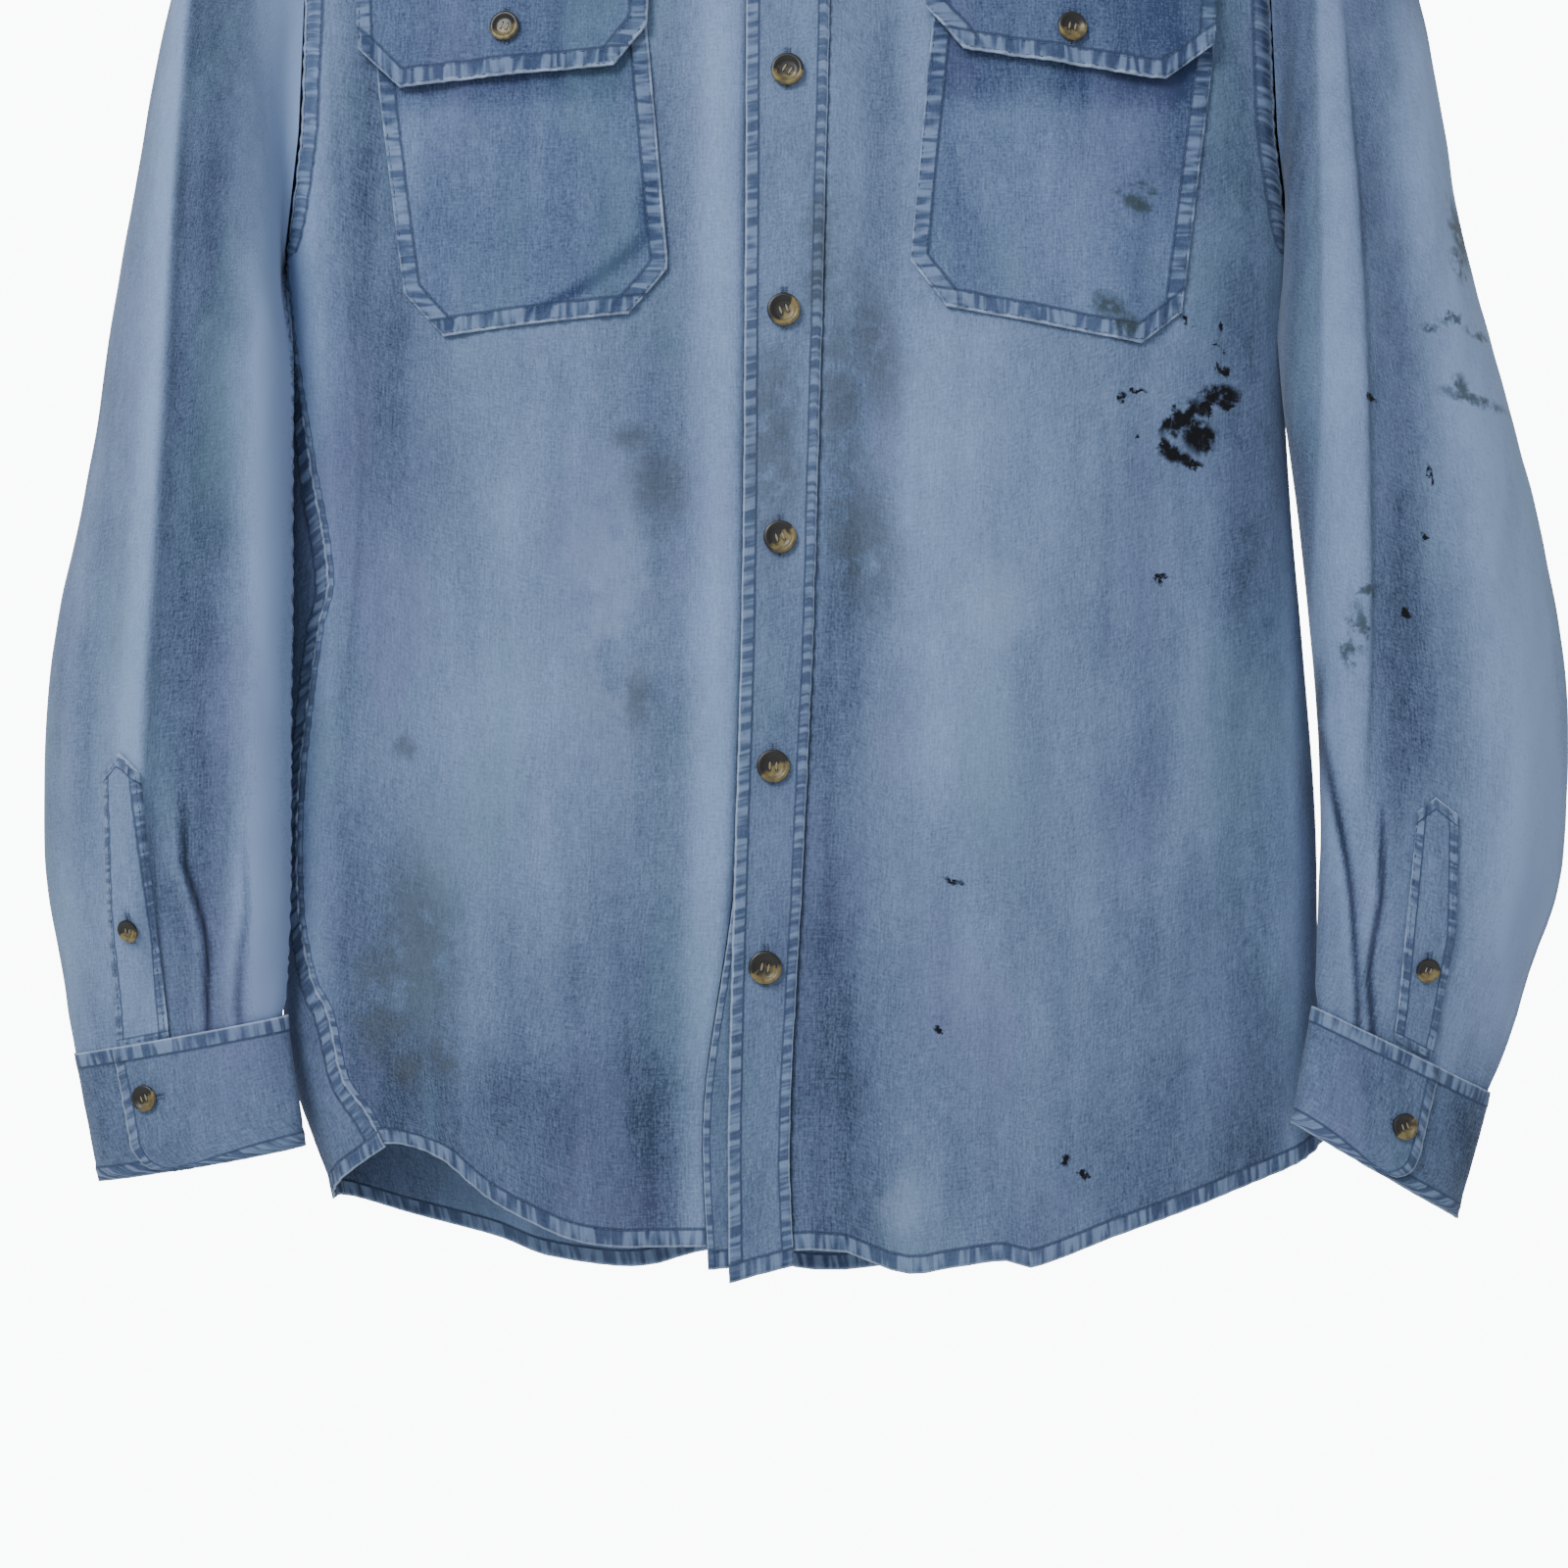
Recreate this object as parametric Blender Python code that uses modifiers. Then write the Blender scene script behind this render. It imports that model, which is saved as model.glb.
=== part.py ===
"""Denim work shirt, buttoned and hung flat on a plain hanger.

Values are in millimetres and become metres when a mesh is made.
+X is to the viewer's right, the front faces -Y, +Z is up, and the origin is the inside
top of the hanger's hook.
"""
import math

import bmesh
import bpy
import numpy
from mathutils import Vector
from mathutils.bvhtree import BVHTree

MM = 0.001

# Cloth
CLOTH = 1.2            # one layer's wall
BAND = 1.8             # a doubled band's wall
GAP = 0.4              # between two pieces at a seam
SIDE_GAP = 0.9         # at the side seams, where the cloth turns sharply
LAYER = 1.8            # from one lying layer's middle to the next
PLACKET_LIFT = 2.1     # the placket stands before the button band

# Body heights
UNDERARM = -425
HIGH_SHOULDER = -82    # where the shoulder meets the neck
NECK_HALF = 72
SHOULDER_HALF = 222
SHOULDER_DROP = 78     # from the neck to the sleeve head
CLOSING = 70           # how far below the shoulder line the cloth rounds over
YOKE_FRONT = 35        # the yoke's front seam, below the shoulder line
YOKE_BACK = -205       # the yoke's level seam across the back
FRONT_NECK_DROP = 51
BACK_NECK_DROP = 18

# Mesh steps
BODY_ROWS = 13         # hem to underarm
ARMHOLE_ROWS = 7       # underarm to yoke
YOKE_ROWS = 6
FRONT_COLUMNS = 12
BACK_COLUMNS = 20
SLEEVE_ROWS = 18
RING = 1 + ARMHOLE_ROWS + (YOKE_ROWS - 1) + ARMHOLE_ROWS

# Buttons
FRONT_BUTTON = 15.2
FLAP_BUTTON = 14.0
CUFF_BUTTON = 12.7
SLIT_BUTTON = 11.4
BUTTON_HEIGHT = 2.8

# Hanger
HANGER_RADIUS = 5.5
HANGER_REACH = 195
HOOK_INSIDE = 18
WIRE_RADIUS = 1.5


def smooth_line(*points):
    """A smooth curve through (key, value) points, level beyond its ends."""
    keys = [point[0] for point in points]
    values = [numpy.array(point[1:], float) for point in points]
    last = len(points) - 1
    slopes = []
    for i in range(len(points)):
        low = max(i - 1, 0)
        high = min(i + 1, last)
        slopes.append((values[high] - values[low]) / (keys[high] - keys[low]))

    def at(key):
        key = min(max(key, keys[0]), keys[last])
        i = min(int(numpy.searchsorted(keys, key, side="right")) - 1, last - 1)
        span = keys[i + 1] - keys[i]
        u = (key - keys[i]) / span
        value = ((2 * u**3 - 3 * u**2 + 1) * values[i] + (u**3 - 2 * u**2 + u) * span * slopes[i]
                 + (3 * u**2 - 2 * u**3) * values[i + 1] + (u**3 - u**2) * span * slopes[i + 1])
        return float(value[0]) if len(value) == 1 else value

    return at


# The body's outline, (height, across) or (height, depth)
left_edge = smooth_line((-905, -208), (-866, -213), (-817, -229), (-775, -237), (-672, -237),
                        (-540, -236), (-500, -235), (-455, -234), (-425, -236), (-300, -240), (-80, -240))
right_edge = smooth_line((-905, 251), (-852, 250), (-764, 248), (-686, 247), (-603, 241),
                         (-540, 236), (-470, 233), (-425, 236), (-300, 238), (-80, 238))
front_depth = smooth_line((-900, -76), (-650, -68), (-450, -60), (-300, -50), (-165, -40), (-80, -27))
back_depth = smooth_line((-910, 24), (-650, 24), (-450, 25), (-300, 26), (-165, 28), (-80, 26))
squareness = smooth_line((-900, 2.7), (-450, 2.6), (-250, 2.3), (-80, 2.2))

# Seams on the front, (height, across)
left_side_seam = smooth_line((-838, -184), (-821, -194), (-808, -204), (-776, -212), (-763, -219),
                             (-730, -226), (-672, -226), (-600, -217), (-578, -212), (-520, -222),
                             (-470, -231), (-425, -236))
placket_left = smooth_line((-899, -27), (-815, -27.5), (-708, -25), (-584, -21.5), (-310, -19.5),
                           (-165, -17))
placket_right = smooth_line((-899, 3.5), (-832, 1), (-708, 7), (-584, 12), (-310, 19.5),
                            (-165, 18))
band_peek = smooth_line((-895, 9), (-820, 10.5), (-738, 1), (-700, -2), (-165, -2))

# Hems, (across, height)
front_left_hem = smooth_line((-190, -837), (-175, -837), (-157, -844), (-138, -858), (-118, -869),
                             (-97, -878), (-77, -882), (-59, -882), (-30, -880))
front_right_hem = smooth_line((6, -883), (18, -881), (32, -887), (52, -893), (72, -890), (97, -887),
                              (107, -890), (146, -877), (191, -862), (234, -847), (250, -838))
back_hem = smooth_line((-213, -866), (-186, -878), (-147, -892), (-126, -902), (-82, -907),
                       (-40, -899), (0, -908), (50, -905), (115, -896), (155, -882), (200, -866),
                       (250, -838))
SIDE_SEAM_END = -838   # where the hems meet at the side seams

# Half the chest at the armhole, and how far the armhole comes in at the front and the back
ARMHOLE_HALF = 236
ARMHOLE_HEIGHT = 230
FRONT_ARMHOLE_IN = 7
BACK_ARMHOLE_IN = 24
SEAM_BEHIND = math.radians(13)     # the right side seam lies this far round to the back


def shoulder(x):
    """Height of the shoulder line; over the neck it runs on upwards and only guides the back."""
    out = abs(x) - NECK_HALF
    if out < 0:
        return HIGH_SHOULDER - 2 * out
    return HIGH_SHOULDER - SHOULDER_DROP * out / (SHOULDER_HALF - NECK_HALF)


def front_top(x):
    """Top edge of a front: under the yoke's front seam, then down round the neck."""
    if abs(x) >= NECK_HALF:
        return shoulder(x) - YOKE_FRONT - GAP
    round_in = math.sqrt(1 - (x / NECK_HALF) ** 2)
    return HIGH_SHOULDER - YOKE_FRONT - GAP - FRONT_NECK_DROP * round_in


def back_neck(x):
    """Edge of the yoke behind the neck."""
    return HIGH_SHOULDER - BACK_NECK_DROP * math.sqrt(max(0, 1 - (x / NECK_HALF) ** 2))


def soft_fold(x, z, centre, half_width, height, top, bottom):
    """Height of one long soft fold whose middle line is given by centre(z)."""
    across = math.exp(-((x - centre(z)) / half_width) ** 2)
    fade = 60
    along = 1 / (1 + math.exp((z - top) / fade * 4)) / (1 + math.exp((bottom - z) / fade * 4))
    return height * across * along


fold_beside_placket = smooth_line((-900, -36), (-300, -32))
trough_left = smooth_line((-900, -64), (-500, -56))
ridge_left = smooth_line((-900, -125), (-450, -118))
fold_under_arm = smooth_line((-660, -212), (-600, -205), (-480, -200), (-330, -214), (-200, -218))
trough_right = smooth_line((-900, 24), (-672, 20), (-560, 26), (-450, 40), (-300, 47))
ridge_right = smooth_line((-900, 105), (-300, 92))
back_left_fold = smooth_line((-900, -120), (-250, -95))
back_middle_fold = smooth_line((-900, 15), (-250, -5))
back_right_fold = smooth_line((-900, 140), (-250, 105))


def front_folds(x, z):
    """How far the front's soft folds stand out."""
    return (soft_fold(x, z, fold_beside_placket, 11, 2.5, -330, -1000)
            + soft_fold(x, z, trough_left, 20, -4, -440, -1000)
            + soft_fold(x, z, ridge_left, 42, 4.5, -470, -1000)
            + soft_fold(x, z, fold_under_arm, 12, 5, -300, -640)
            + soft_fold(x, z, trough_right, 16, -3.5, -300, -1000)
            + soft_fold(x, z, ridge_right, 48, 4, -480, -1000))


def back_folds(x, z):
    """How far the back's soft folds stand out."""
    return (soft_fold(x, z, back_left_fold, 30, 6, -300, -1000)
            + soft_fold(x, z, back_middle_fold, 34, -5, -300, -1000)
            + soft_fold(x, z, back_right_fold, 30, 6, -320, -1000))


def rounded(angle, power):
    """Cosine and sine of a squared-off circle."""
    c = math.cos(angle)
    s = math.sin(angle)
    return (math.copysign(abs(c) ** (2 / power), c), math.copysign(abs(s) ** (2 / power), s))


def body(angle, z):
    """A point of the body's cloth. Angle 0 is the right edge, 90 degrees the front's middle."""
    low = left_edge(z)
    high = right_edge(z)
    c, s = rounded(angle, squareness(z))
    x = (low + high) / 2 + (high - low) / 2 * c
    below = min(max((shoulder(x) - z) / CLOSING, 0), 1)
    closing = math.sqrt(1 - (1 - below) ** 2)
    middle = (front_depth(z) + back_depth(z)) / 2
    half = (back_depth(z) - front_depth(z)) / 2
    y = middle - half * s * closing
    steady = min(1, abs(s) * 1.2) ** 2
    if s > 0:
        y -= front_folds(x, z) * steady
    else:
        y += back_folds(x, z) * steady
    return Vector((x, y, z))


def angle_at(x, z, back=False):
    """The body angle at which the cloth passes x, on its front or its back."""
    low = left_edge(z)
    high = right_edge(z)
    c = (2 * x - low - high) / (high - low)
    c = min(max(c, -1), 1)
    angle = math.acos(math.copysign(abs(c) ** (squareness(z) / 2), c))
    return 2 * math.pi - angle if back else angle


def stepped(angle, z, distance):
    """The angle a small distance along the cloth from the given one."""
    step = 0.002 if distance > 0 else -0.002
    speed = (body(angle + step, z) - body(angle, z)).length / 0.002
    return angle + distance / speed


def side_angle(z, side, back=False):
    """The angle of the side seam, and above it of the front or back armhole."""
    if z <= UNDERARM:
        if side < 0:
            return angle_at(left_side_seam(z), z)
        behind = min((UNDERARM - z) / 90, 1)
        return (2 * math.pi if back else 0) - SEAM_BEHIND * behind
    rise = (z - UNDERARM) / ARMHOLE_HEIGHT
    if back:
        x = ARMHOLE_HALF - BACK_ARMHOLE_IN * min(rise * 2.2, 1) ** 0.8 + 3 * rise
    else:
        x = ARMHOLE_HALF - FRONT_ARMHOLE_IN * min(rise * 4, 1) ** 0.7 - 6 * rise
    return angle_at(side * x, z, back)


def open_grid(columns, rows, place, closed=False):
    """An open sheet: a grid whose points are put in place by a function of column and row."""
    mesh = bmesh.new()
    bmesh.ops.create_grid(mesh, x_segments=columns, y_segments=rows, size=1)
    mesh.verts.ensure_lookup_table()
    for vertex in mesh.verts:
        row, column = divmod(vertex.index, columns + 1)
        vertex.co = Vector(place(column, row)) * MM
    if closed:
        bmesh.ops.remove_doubles(mesh, verts=mesh.verts, dist=0.00001)
    bmesh.ops.triangulate(mesh, faces=mesh.faces)
    return mesh


def face_out(mesh, outward):
    """Turns the sheet's faces so that the first direction is their outer side."""
    mesh.normal_update()
    if sum(face.normal.dot(outward) for face in mesh.faces) < 0:
        bmesh.ops.reverse_faces(mesh, faces=mesh.faces)
        mesh.normal_update()


def lying_on(mesh, lift, outline, outward=Vector((0, -1, 0))):
    """A layer on a sheet: its points moved out by lift, cut to a convex outline of (x, z)."""
    layer = mesh.copy()
    layer.normal_update()
    hidden = [face for face in layer.faces if face.normal.dot(outward) < 0.15]
    bmesh.ops.delete(layer, geom=hidden, context="FACES")
    moved = [(vertex, vertex.co + vertex.normal * lift * MM) for vertex in layer.verts]
    for vertex, place in moved:
        vertex.co = place
    middle_x = sum(point[0] for point in outline) / len(outline)
    middle_z = sum(point[1] for point in outline) / len(outline)
    for (x0, z0), (x1, z1) in zip(outline, outline[1:] + outline[:1]):
        normal = Vector((z1 - z0, 0, x0 - x1)).normalized()
        if normal.dot(Vector((middle_x - x0, 0, middle_z - z0))) > 0:
            normal = -normal
        geometry = layer.verts[:] + layer.edges[:] + layer.faces[:]
        bmesh.ops.bisect_plane(layer, geom=geometry, dist=0.00002, plane_co=Vector((x0, 0, z0)) * MM,
                               plane_no=normal, clear_outer=True)
    layer.normal_update()
    return layer


def material(name, colour, roughness, metallic=0.0):
    """A plain finish of one colour."""
    finish = bpy.data.materials.new(name)
    finish.use_nodes = True
    shader = finish.node_tree.nodes["Principled BSDF"]
    shader.inputs["Base Color"].default_value = (*colour, 1)
    shader.inputs["Roughness"].default_value = roughness
    shader.inputs["Metallic"].default_value = metallic
    return finish


def piece(name, mesh, collection, colour, roughness=0.9, wall=CLOTH):
    """Adds a sheet to the shirt as a wall of cloth."""
    data = bpy.data.meshes.new(name)
    mesh.to_mesh(data)
    thing = bpy.data.objects.new(name, data)
    collection.objects.link(thing)
    data.materials.append(material(name + "_cloth", colour, roughness))
    solidify = thing.modifiers.new("wall", "SOLIDIFY")
    solidify.thickness = wall * MM
    solidify.offset = 0
    data.shade_smooth()
    return thing


DENIM = (0.19, 0.30, 0.47)
DENIM_BAND = (0.16, 0.26, 0.42)


def side_height(fraction_row, hem, top):
    """Height of a row: even steps from the hem to the underarm, then to the top."""
    if fraction_row <= BODY_ROWS:
        return hem + (UNDERARM - hem) * fraction_row / BODY_ROWS
    return UNDERARM + (top - UNDERARM) * (fraction_row - BODY_ROWS) / ARMHOLE_ROWS


def front_sheet(side):
    """One front, from its side seam and armhole to its centre band."""
    hem_line = front_left_hem if side < 0 else front_right_hem

    def centre_x(z):
        if side < 0:
            return placket_left(z) - band_peek(z) - 2 * GAP
        return placket_right(z) + GAP

    def place(column, row):
        inward = column / FRONT_COLUMNS

        def angle(z):
            edge = stepped(side_angle(z, side), z, side * SIDE_GAP / 2)
            return edge + (angle_at(centre_x(z), z) - edge) * inward

        hem = hem_line(body(angle(-850), -850).x)
        top = front_top(body(angle(-190), -190).x)
        z = side_height(row, hem, top)
        point = body(angle(z), z)
        if side > 0:
            point.y -= PLACKET_LIFT * math.exp(-max(point.x - placket_right(z), 0) / 22)
        return point

    sheet = open_grid(FRONT_COLUMNS, BODY_ROWS + ARMHOLE_ROWS, place)
    face_out(sheet, Vector((0, -1, 0)))
    return sheet


def back_sheet():
    """The back, from the left side seam round the back to the right one."""
    def place(column, row):
        round_back = column / BACK_COLUMNS

        def angle(z):
            first = stepped(side_angle(z, -1, z > UNDERARM), z, SIDE_GAP / 2)
            second = stepped(side_angle(z, 1, True), z, -SIDE_GAP / 2)
            return first + (second - first) * round_back

        probe = body(angle(-866), -866)
        hem = back_hem(probe.x)
        near_left = max(0, 1 - column / 3)
        near_right = max(0, 1 - (BACK_COLUMNS - column) / 2)
        hem += (SIDE_SEAM_END - hem) * max(near_left, near_right)
        z = side_height(row, hem, YOKE_BACK)
        return body(angle(z), z)

    sheet = open_grid(BACK_COLUMNS, BODY_ROWS + ARMHOLE_ROWS, place)
    face_out(sheet, Vector((0, 1, 0)))
    return sheet


def over_shoulder(x, turn):
    """A point near the shoulder line: turn 1 is a quarter round to the front, -1 to the back."""
    if abs(turn) <= 1:
        down = CLOSING * (1 - math.cos(turn * math.pi / 2))
    else:
        down = CLOSING * (1 + (abs(turn) - 1) * math.pi / 2)
    z = shoulder(x) - down
    return body(angle_at(x, z, turn < 0), z)


def turn_at(x, z):
    """How far round the shoulder the height z lies."""
    down = shoulder(x) - z
    if down <= CLOSING:
        return math.acos(1 - down / CLOSING) * 2 / math.pi
    return 1 + (down / CLOSING - 1) * 2 / math.pi


YOKE_BACK_HALF = 213   # half the yoke's back seam


def yoke_armhole_x(row):
    """The yoke's ends follow the armhole from its back corner to its front one."""
    across = row / YOKE_ROWS
    return YOKE_BACK_HALF + (SHOULDER_HALF - YOKE_BACK_HALF) * min(across * 2, 1)


def yoke_place(x, top_x, top_turn, row):
    """A point of the yoke on the line from its back seam to its top or front edge."""
    rise = row / YOKE_ROWS
    seam = YOKE_BACK + GAP
    across = x + (top_x - x) * rise
    if top_turn is None:
        z = seam + (back_neck(top_x) - seam) * rise
        return body(angle_at(across, z, True), z)
    start = -turn_at(x, seam)
    return over_shoulder(across, start + (top_turn - start) * rise)


def yoke_sheet():
    """The yoke over both shoulders, and how far round to the front it reaches."""
    front_turn = turn_at(150, shoulder(150) - YOKE_FRONT)
    tops = [(SHOULDER_HALF, front_turn), (190, front_turn), (160, front_turn), (130, front_turn),
            (100, front_turn), (NECK_HALF, front_turn), (NECK_HALF, front_turn / 2), (NECK_HALF, 0),
            (62, None), (42, None), (20, None)]
    tops = [(-x, turn) for x, turn in tops] + [(0, None)] + tops[::-1]
    columns = len(tops) - 1

    def place(column, row):
        top_x, turn = tops[column]
        x = YOKE_BACK_HALF * (2 * column / columns - 1)
        if column in (0, columns):
            side = -1 if column == 0 else 1
            x = side * YOKE_BACK_HALF
            z_turn = -turn_at(x, YOKE_BACK + GAP)
            turn = z_turn + (turn - z_turn) * row / YOKE_ROWS
            return over_shoulder(side * yoke_armhole_x(row), turn)
        return yoke_place(x, top_x, turn, row)

    sheet = open_grid(columns, YOKE_ROWS, place)
    face_out(sheet, Vector((0, 0, 1)))
    return sheet, front_turn


def armhole(side, front_turn):
    """The armhole's points: underarm, up the front, over the yoke's end and down the back."""
    points = []
    top = front_top(side * SHOULDER_HALF)
    for row in range(ARMHOLE_ROWS + 1):
        z = UNDERARM + (top - UNDERARM) * row / ARMHOLE_ROWS
        points.append(body(side_angle(z, side), z))
    back_turn = -turn_at(YOKE_BACK_HALF, YOKE_BACK + GAP)
    for row in range(YOKE_ROWS - 1, 0, -1):
        turn = back_turn + (front_turn - back_turn) * row / YOKE_ROWS
        points.append(over_shoulder(side * yoke_armhole_x(row), turn))
    for row in range(ARMHOLE_ROWS, 0, -1):
        z = UNDERARM + (YOKE_BACK - UNDERARM) * row / ARMHOLE_ROWS
        points.append(body(side_angle(z, side, True), z))
    return points


# A sleeve's outer and inner edges, (fraction, x, y, z), and its half depth, (fraction, depth)
SLEEVES = {
    -1: {"outer": smooth_line((0, -223, 0, -160), (0.11, -259, -8, -225), (0.24, -288, -16, -305),
                              (0.43, -311, -22, -425), (0.61, -330, -25, -540), (0.73, -345, -27, -620),
                              (0.86, -347, -30, -705), (0.95, -338, -35, -764), (1, -332, -40, -795)),
         "inner": smooth_line((0, -239, -20, -425), (0.05, -243, -25, -441), (0.11, -241, -39, -462),
                              (0.17, -236, -49, -482), (0.24, -232, -56, -505),
                              (0.43, -230, -60, -576), (0.61, -230, -61, -639), (0.73, -229, -61, -681),
                              (0.86, -229, -59, -728), (1, -231, -56, -777))},
    1: {"outer": smooth_line((0, 223, 0, -160), (0.11, 262, -8, -225), (0.24, 294, -16, -305),
                             (0.41, 318, -21, -425), (0.58, 349, -24, -540), (0.71, 364, -27, -630),
                             (0.82, 361, -31, -709), (0.92, 343, -37, -766), (0.965, 332, -41, -796),
                             (1, 324, -44, -813)),
        "inner": smooth_line((0, 239, -20, -425), (0.05, 243, -24, -441), (0.11, 243, -34, -462),
                             (0.24, 237, -50, -505), (0.41, 238, -56, -568), (0.58, 243, -58, -640),
                             (0.71, 244.5, -59, -690), (0.82, 243, -60, -722), (0.92, 242, -60, -750),
                             (1, 241, -60, -773))},
}
sleeve_half_depth = smooth_line((0, 24), (0.11, 34), (0.24, 40), (0.43, 42), (0.73, 40),
                                (0.88, 32), (1, 17))

# A cuff's corners in order inner top, outer top, inner bottom, outer bottom, (x, y, z)
CUFFS = {
    -1: ((-231, -56, -778), (-332, -40, -797), (-223, -56, -838), (-320, -41, -856)),
    1: ((241, -60, -774), (325, -44, -815), (229, -69, -826), (308, -52, -872)),
}
CUFF_HALF_DEPTH = 17
CUFF_END = {-1: math.radians(122), 1: math.radians(108)}   # where the buttonhole end lies
CUFF_LAP = math.radians(32)                                # how far the two ends lie on each other
CUFF_LAP_LIFT = 1.3

left_ridge = smooth_line((-760, -298), (-620, -295), (-450, -292), (-316, -287), (-250, -280))
right_strip = smooth_line((-640, 258), (-540, 256), (-460, 256), (-400, 257), (-316, 259))


def sleeve_folds(side, x, z):
    """The long folds down the front of each sleeve."""
    if side < 0:
        return soft_fold(x, z, left_ridge, 13, 7, -250, -640)
    return soft_fold(x, z, right_strip, 11, 6, -280, -560)


def sleeve_ring(side, fraction, angle):
    """A point of the hanging tube; angle 0 is its inner edge and 90 degrees its front."""
    outer = Vector(SLEEVES[side]["outer"](fraction))
    inner = Vector(SLEEVES[side]["inner"](fraction))
    c = math.cos(angle)
    s = math.sin(angle)
    point = (outer + inner) / 2 + (inner - outer) / 2 * c
    point.y -= sleeve_half_depth(fraction) * s
    if s > 0:
        point.y -= sleeve_folds(side, point.x, point.z) * s * min(1, fraction * 6)
    return point


HEAD_ROWS = 0.65       # how much of the sleeve's rows are gathered towards its head


def sleeve_sheet(side, hole):
    """A sleeve: the armhole's loop run into the hanging tube."""
    def apart(column):
        """The seam's gap, wider at the underarm, where the two walls run side by side."""
        low = max(math.cos(column / RING * 2 * math.pi), 0) ** 2
        return Vector((side * (1 + 1.4 * low), 0, 0))

    def place(column, row):
        column = column % RING
        fraction = row / SLEEVE_ROWS
        fraction = (1 - HEAD_ROWS) * fraction + HEAD_ROWS * fraction ** 1.25
        ring = sleeve_ring(side, fraction, column / RING * 2 * math.pi)
        start = hole[column] + apart(column)
        point = ring.lerp(start, (1 - fraction) ** 7)
        point.x = ring.x + (start.x - ring.x) * (1 - fraction) ** 16
        return point

    sheet = open_grid(RING, SLEEVE_ROWS, place, closed=True)
    bmesh.ops.recalc_face_normals(sheet, faces=sheet.faces)
    middle = sum(vertex.co.y for vertex in sheet.verts) / len(sheet.verts)
    if sum(face.normal.y * (face.calc_center_median().y - middle) for face in sheet.faces) < 0:
        bmesh.ops.reverse_faces(sheet, faces=sheet.faces)
    sheet.normal_update()
    return sheet


def cuff_sheet(side):
    """A cuff: a band wound once round, its buttonhole end over its button end."""
    columns = 22
    rows = 2
    inner_top, outer_top, inner_low, outer_low = [Vector(corner) for corner in CUFFS[side]]
    whole = 2 * math.pi + CUFF_LAP

    def place(column, row):
        down = row / rows
        along = column / columns
        corner = math.radians(14) * down ** 3 * (1 - along) ** 6
        angle = CUFF_END[side] - corner - (whole - corner) * along
        inner = inner_top.lerp(inner_low, down)
        outer = outer_top.lerp(outer_low, down)
        out = CUFF_LAP_LIFT * (1 - 2 * along)
        point = (inner + outer) / 2 + (inner - outer) / 2 * (math.cos(angle) * (1 + out / 48))
        point.y -= (CUFF_HALF_DEPTH + out) * math.sin(angle)
        return point

    return open_grid(columns, rows, place)


def placket_sheet():
    """The buttonhole band down the middle."""
    columns = 2
    rows = 20

    def place(column, row):
        across = column / columns
        bottom = -897 + 8 * across
        top = front_top(0) - 1
        z = bottom + (top - bottom) * row / rows
        x = placket_left(z) + (placket_right(z) - placket_left(z)) * across
        point = body(angle_at(x, z), z)
        point.y -= PLACKET_LIFT
        return point

    sheet = open_grid(columns, rows, place)
    face_out(sheet, Vector((0, -1, 0)))
    return sheet


def button_band_sheet():
    """The band that the buttons are sewn on, under the placket."""
    columns = 2
    rows = 20

    def place(column, row):
        across = column / columns
        bottom = -891 + 2 * across
        top = front_top(0) - 1
        z = bottom + (top - bottom) * row / rows
        left = placket_left(z) - band_peek(z)
        x = left + (placket_right(z) - 4 - left) * across
        return body(angle_at(x, z), z)

    return open_grid(columns, rows, place)


# The collar by angle round the neck: 0 is the front's middle and 180 degrees the back's
stand_foot = smooth_line((0, -166), (30, -162), (50, -150), (66, -132), (80, -98), (92, -79),
                         (112, -78), (140, -90), (180, -97))
stand_height = smooth_line((0, 27), (70, 32), (180, 36))
leaf_edge = smooth_line((9, 50, -50, -206), (22, 62, -49, -188), (45, 82, -45, -160), (65, 98, -39, -131),
                        (80, 105, -22, -107), (92, 105, -4, -95), (110, 99, 15, -98), (130, 80, 32, -106),
                        (150, 50, 34, -112), (180, 0, 34, -115))
LEAF_START = 9         # degrees from the middle of the front
STAND_CENTRE = -7
STAND_HALF_DEPTH = 33
STAND_LAP = 12         # degrees that the buttonhole end runs past the middle


def stand_point(degrees, rise, out=0):
    """A point of the collar stand; degrees run from -180 to 180 round the neck."""
    angle = math.radians(degrees)
    turn = abs(degrees) if abs(degrees) <= 180 else 360 - abs(degrees)
    lean = -3 * rise
    half = NECK_HALF - 1.5 + lean + out
    x = half * math.sin(angle)
    y = STAND_CENTRE - (STAND_HALF_DEPTH + lean + out) * math.cos(angle)
    return Vector((x, y, stand_foot(turn) + stand_height(turn) * rise))


def stand_sheet():
    """The collar stand, wound once round the neck and lapped at the front."""
    columns = 28
    rows = 2

    def place(column, row):
        along = column / columns
        degrees = -STAND_LAP + (360 + 2 * STAND_LAP) * along
        return stand_point(degrees, row / rows, 1.3 - 2.6 * along)

    return open_grid(columns, rows, place)


def leaf_sheet():
    """The collar's leaf, from its fold over the stand down to its edge and points."""
    columns = 26
    rows = 3

    def place(column, row):
        degrees = LEAF_START + (360 - 2 * LEAF_START) * column / columns
        side = 1 if degrees < 180 else -1
        turn = min(degrees, 360 - degrees)
        fold = stand_point(degrees, 1, 3)
        fold.z += 3
        edge = Vector(leaf_edge(turn))
        edge.x *= side
        down = row / rows
        point = fold.lerp(edge, down)
        point.z += 3 * math.sin(math.pi * down)
        return point

    return open_grid(columns, rows, place)


def surface(*meshes):
    """A search tree over some sheets, to find where a line meets them."""
    joined = bmesh.new()
    for mesh in meshes:
        data = bpy.data.meshes.new("joined")
        mesh.to_mesh(data)
        joined.from_mesh(data)
        bpy.data.meshes.remove(data)
    return BVHTree.FromBMesh(joined)


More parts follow.
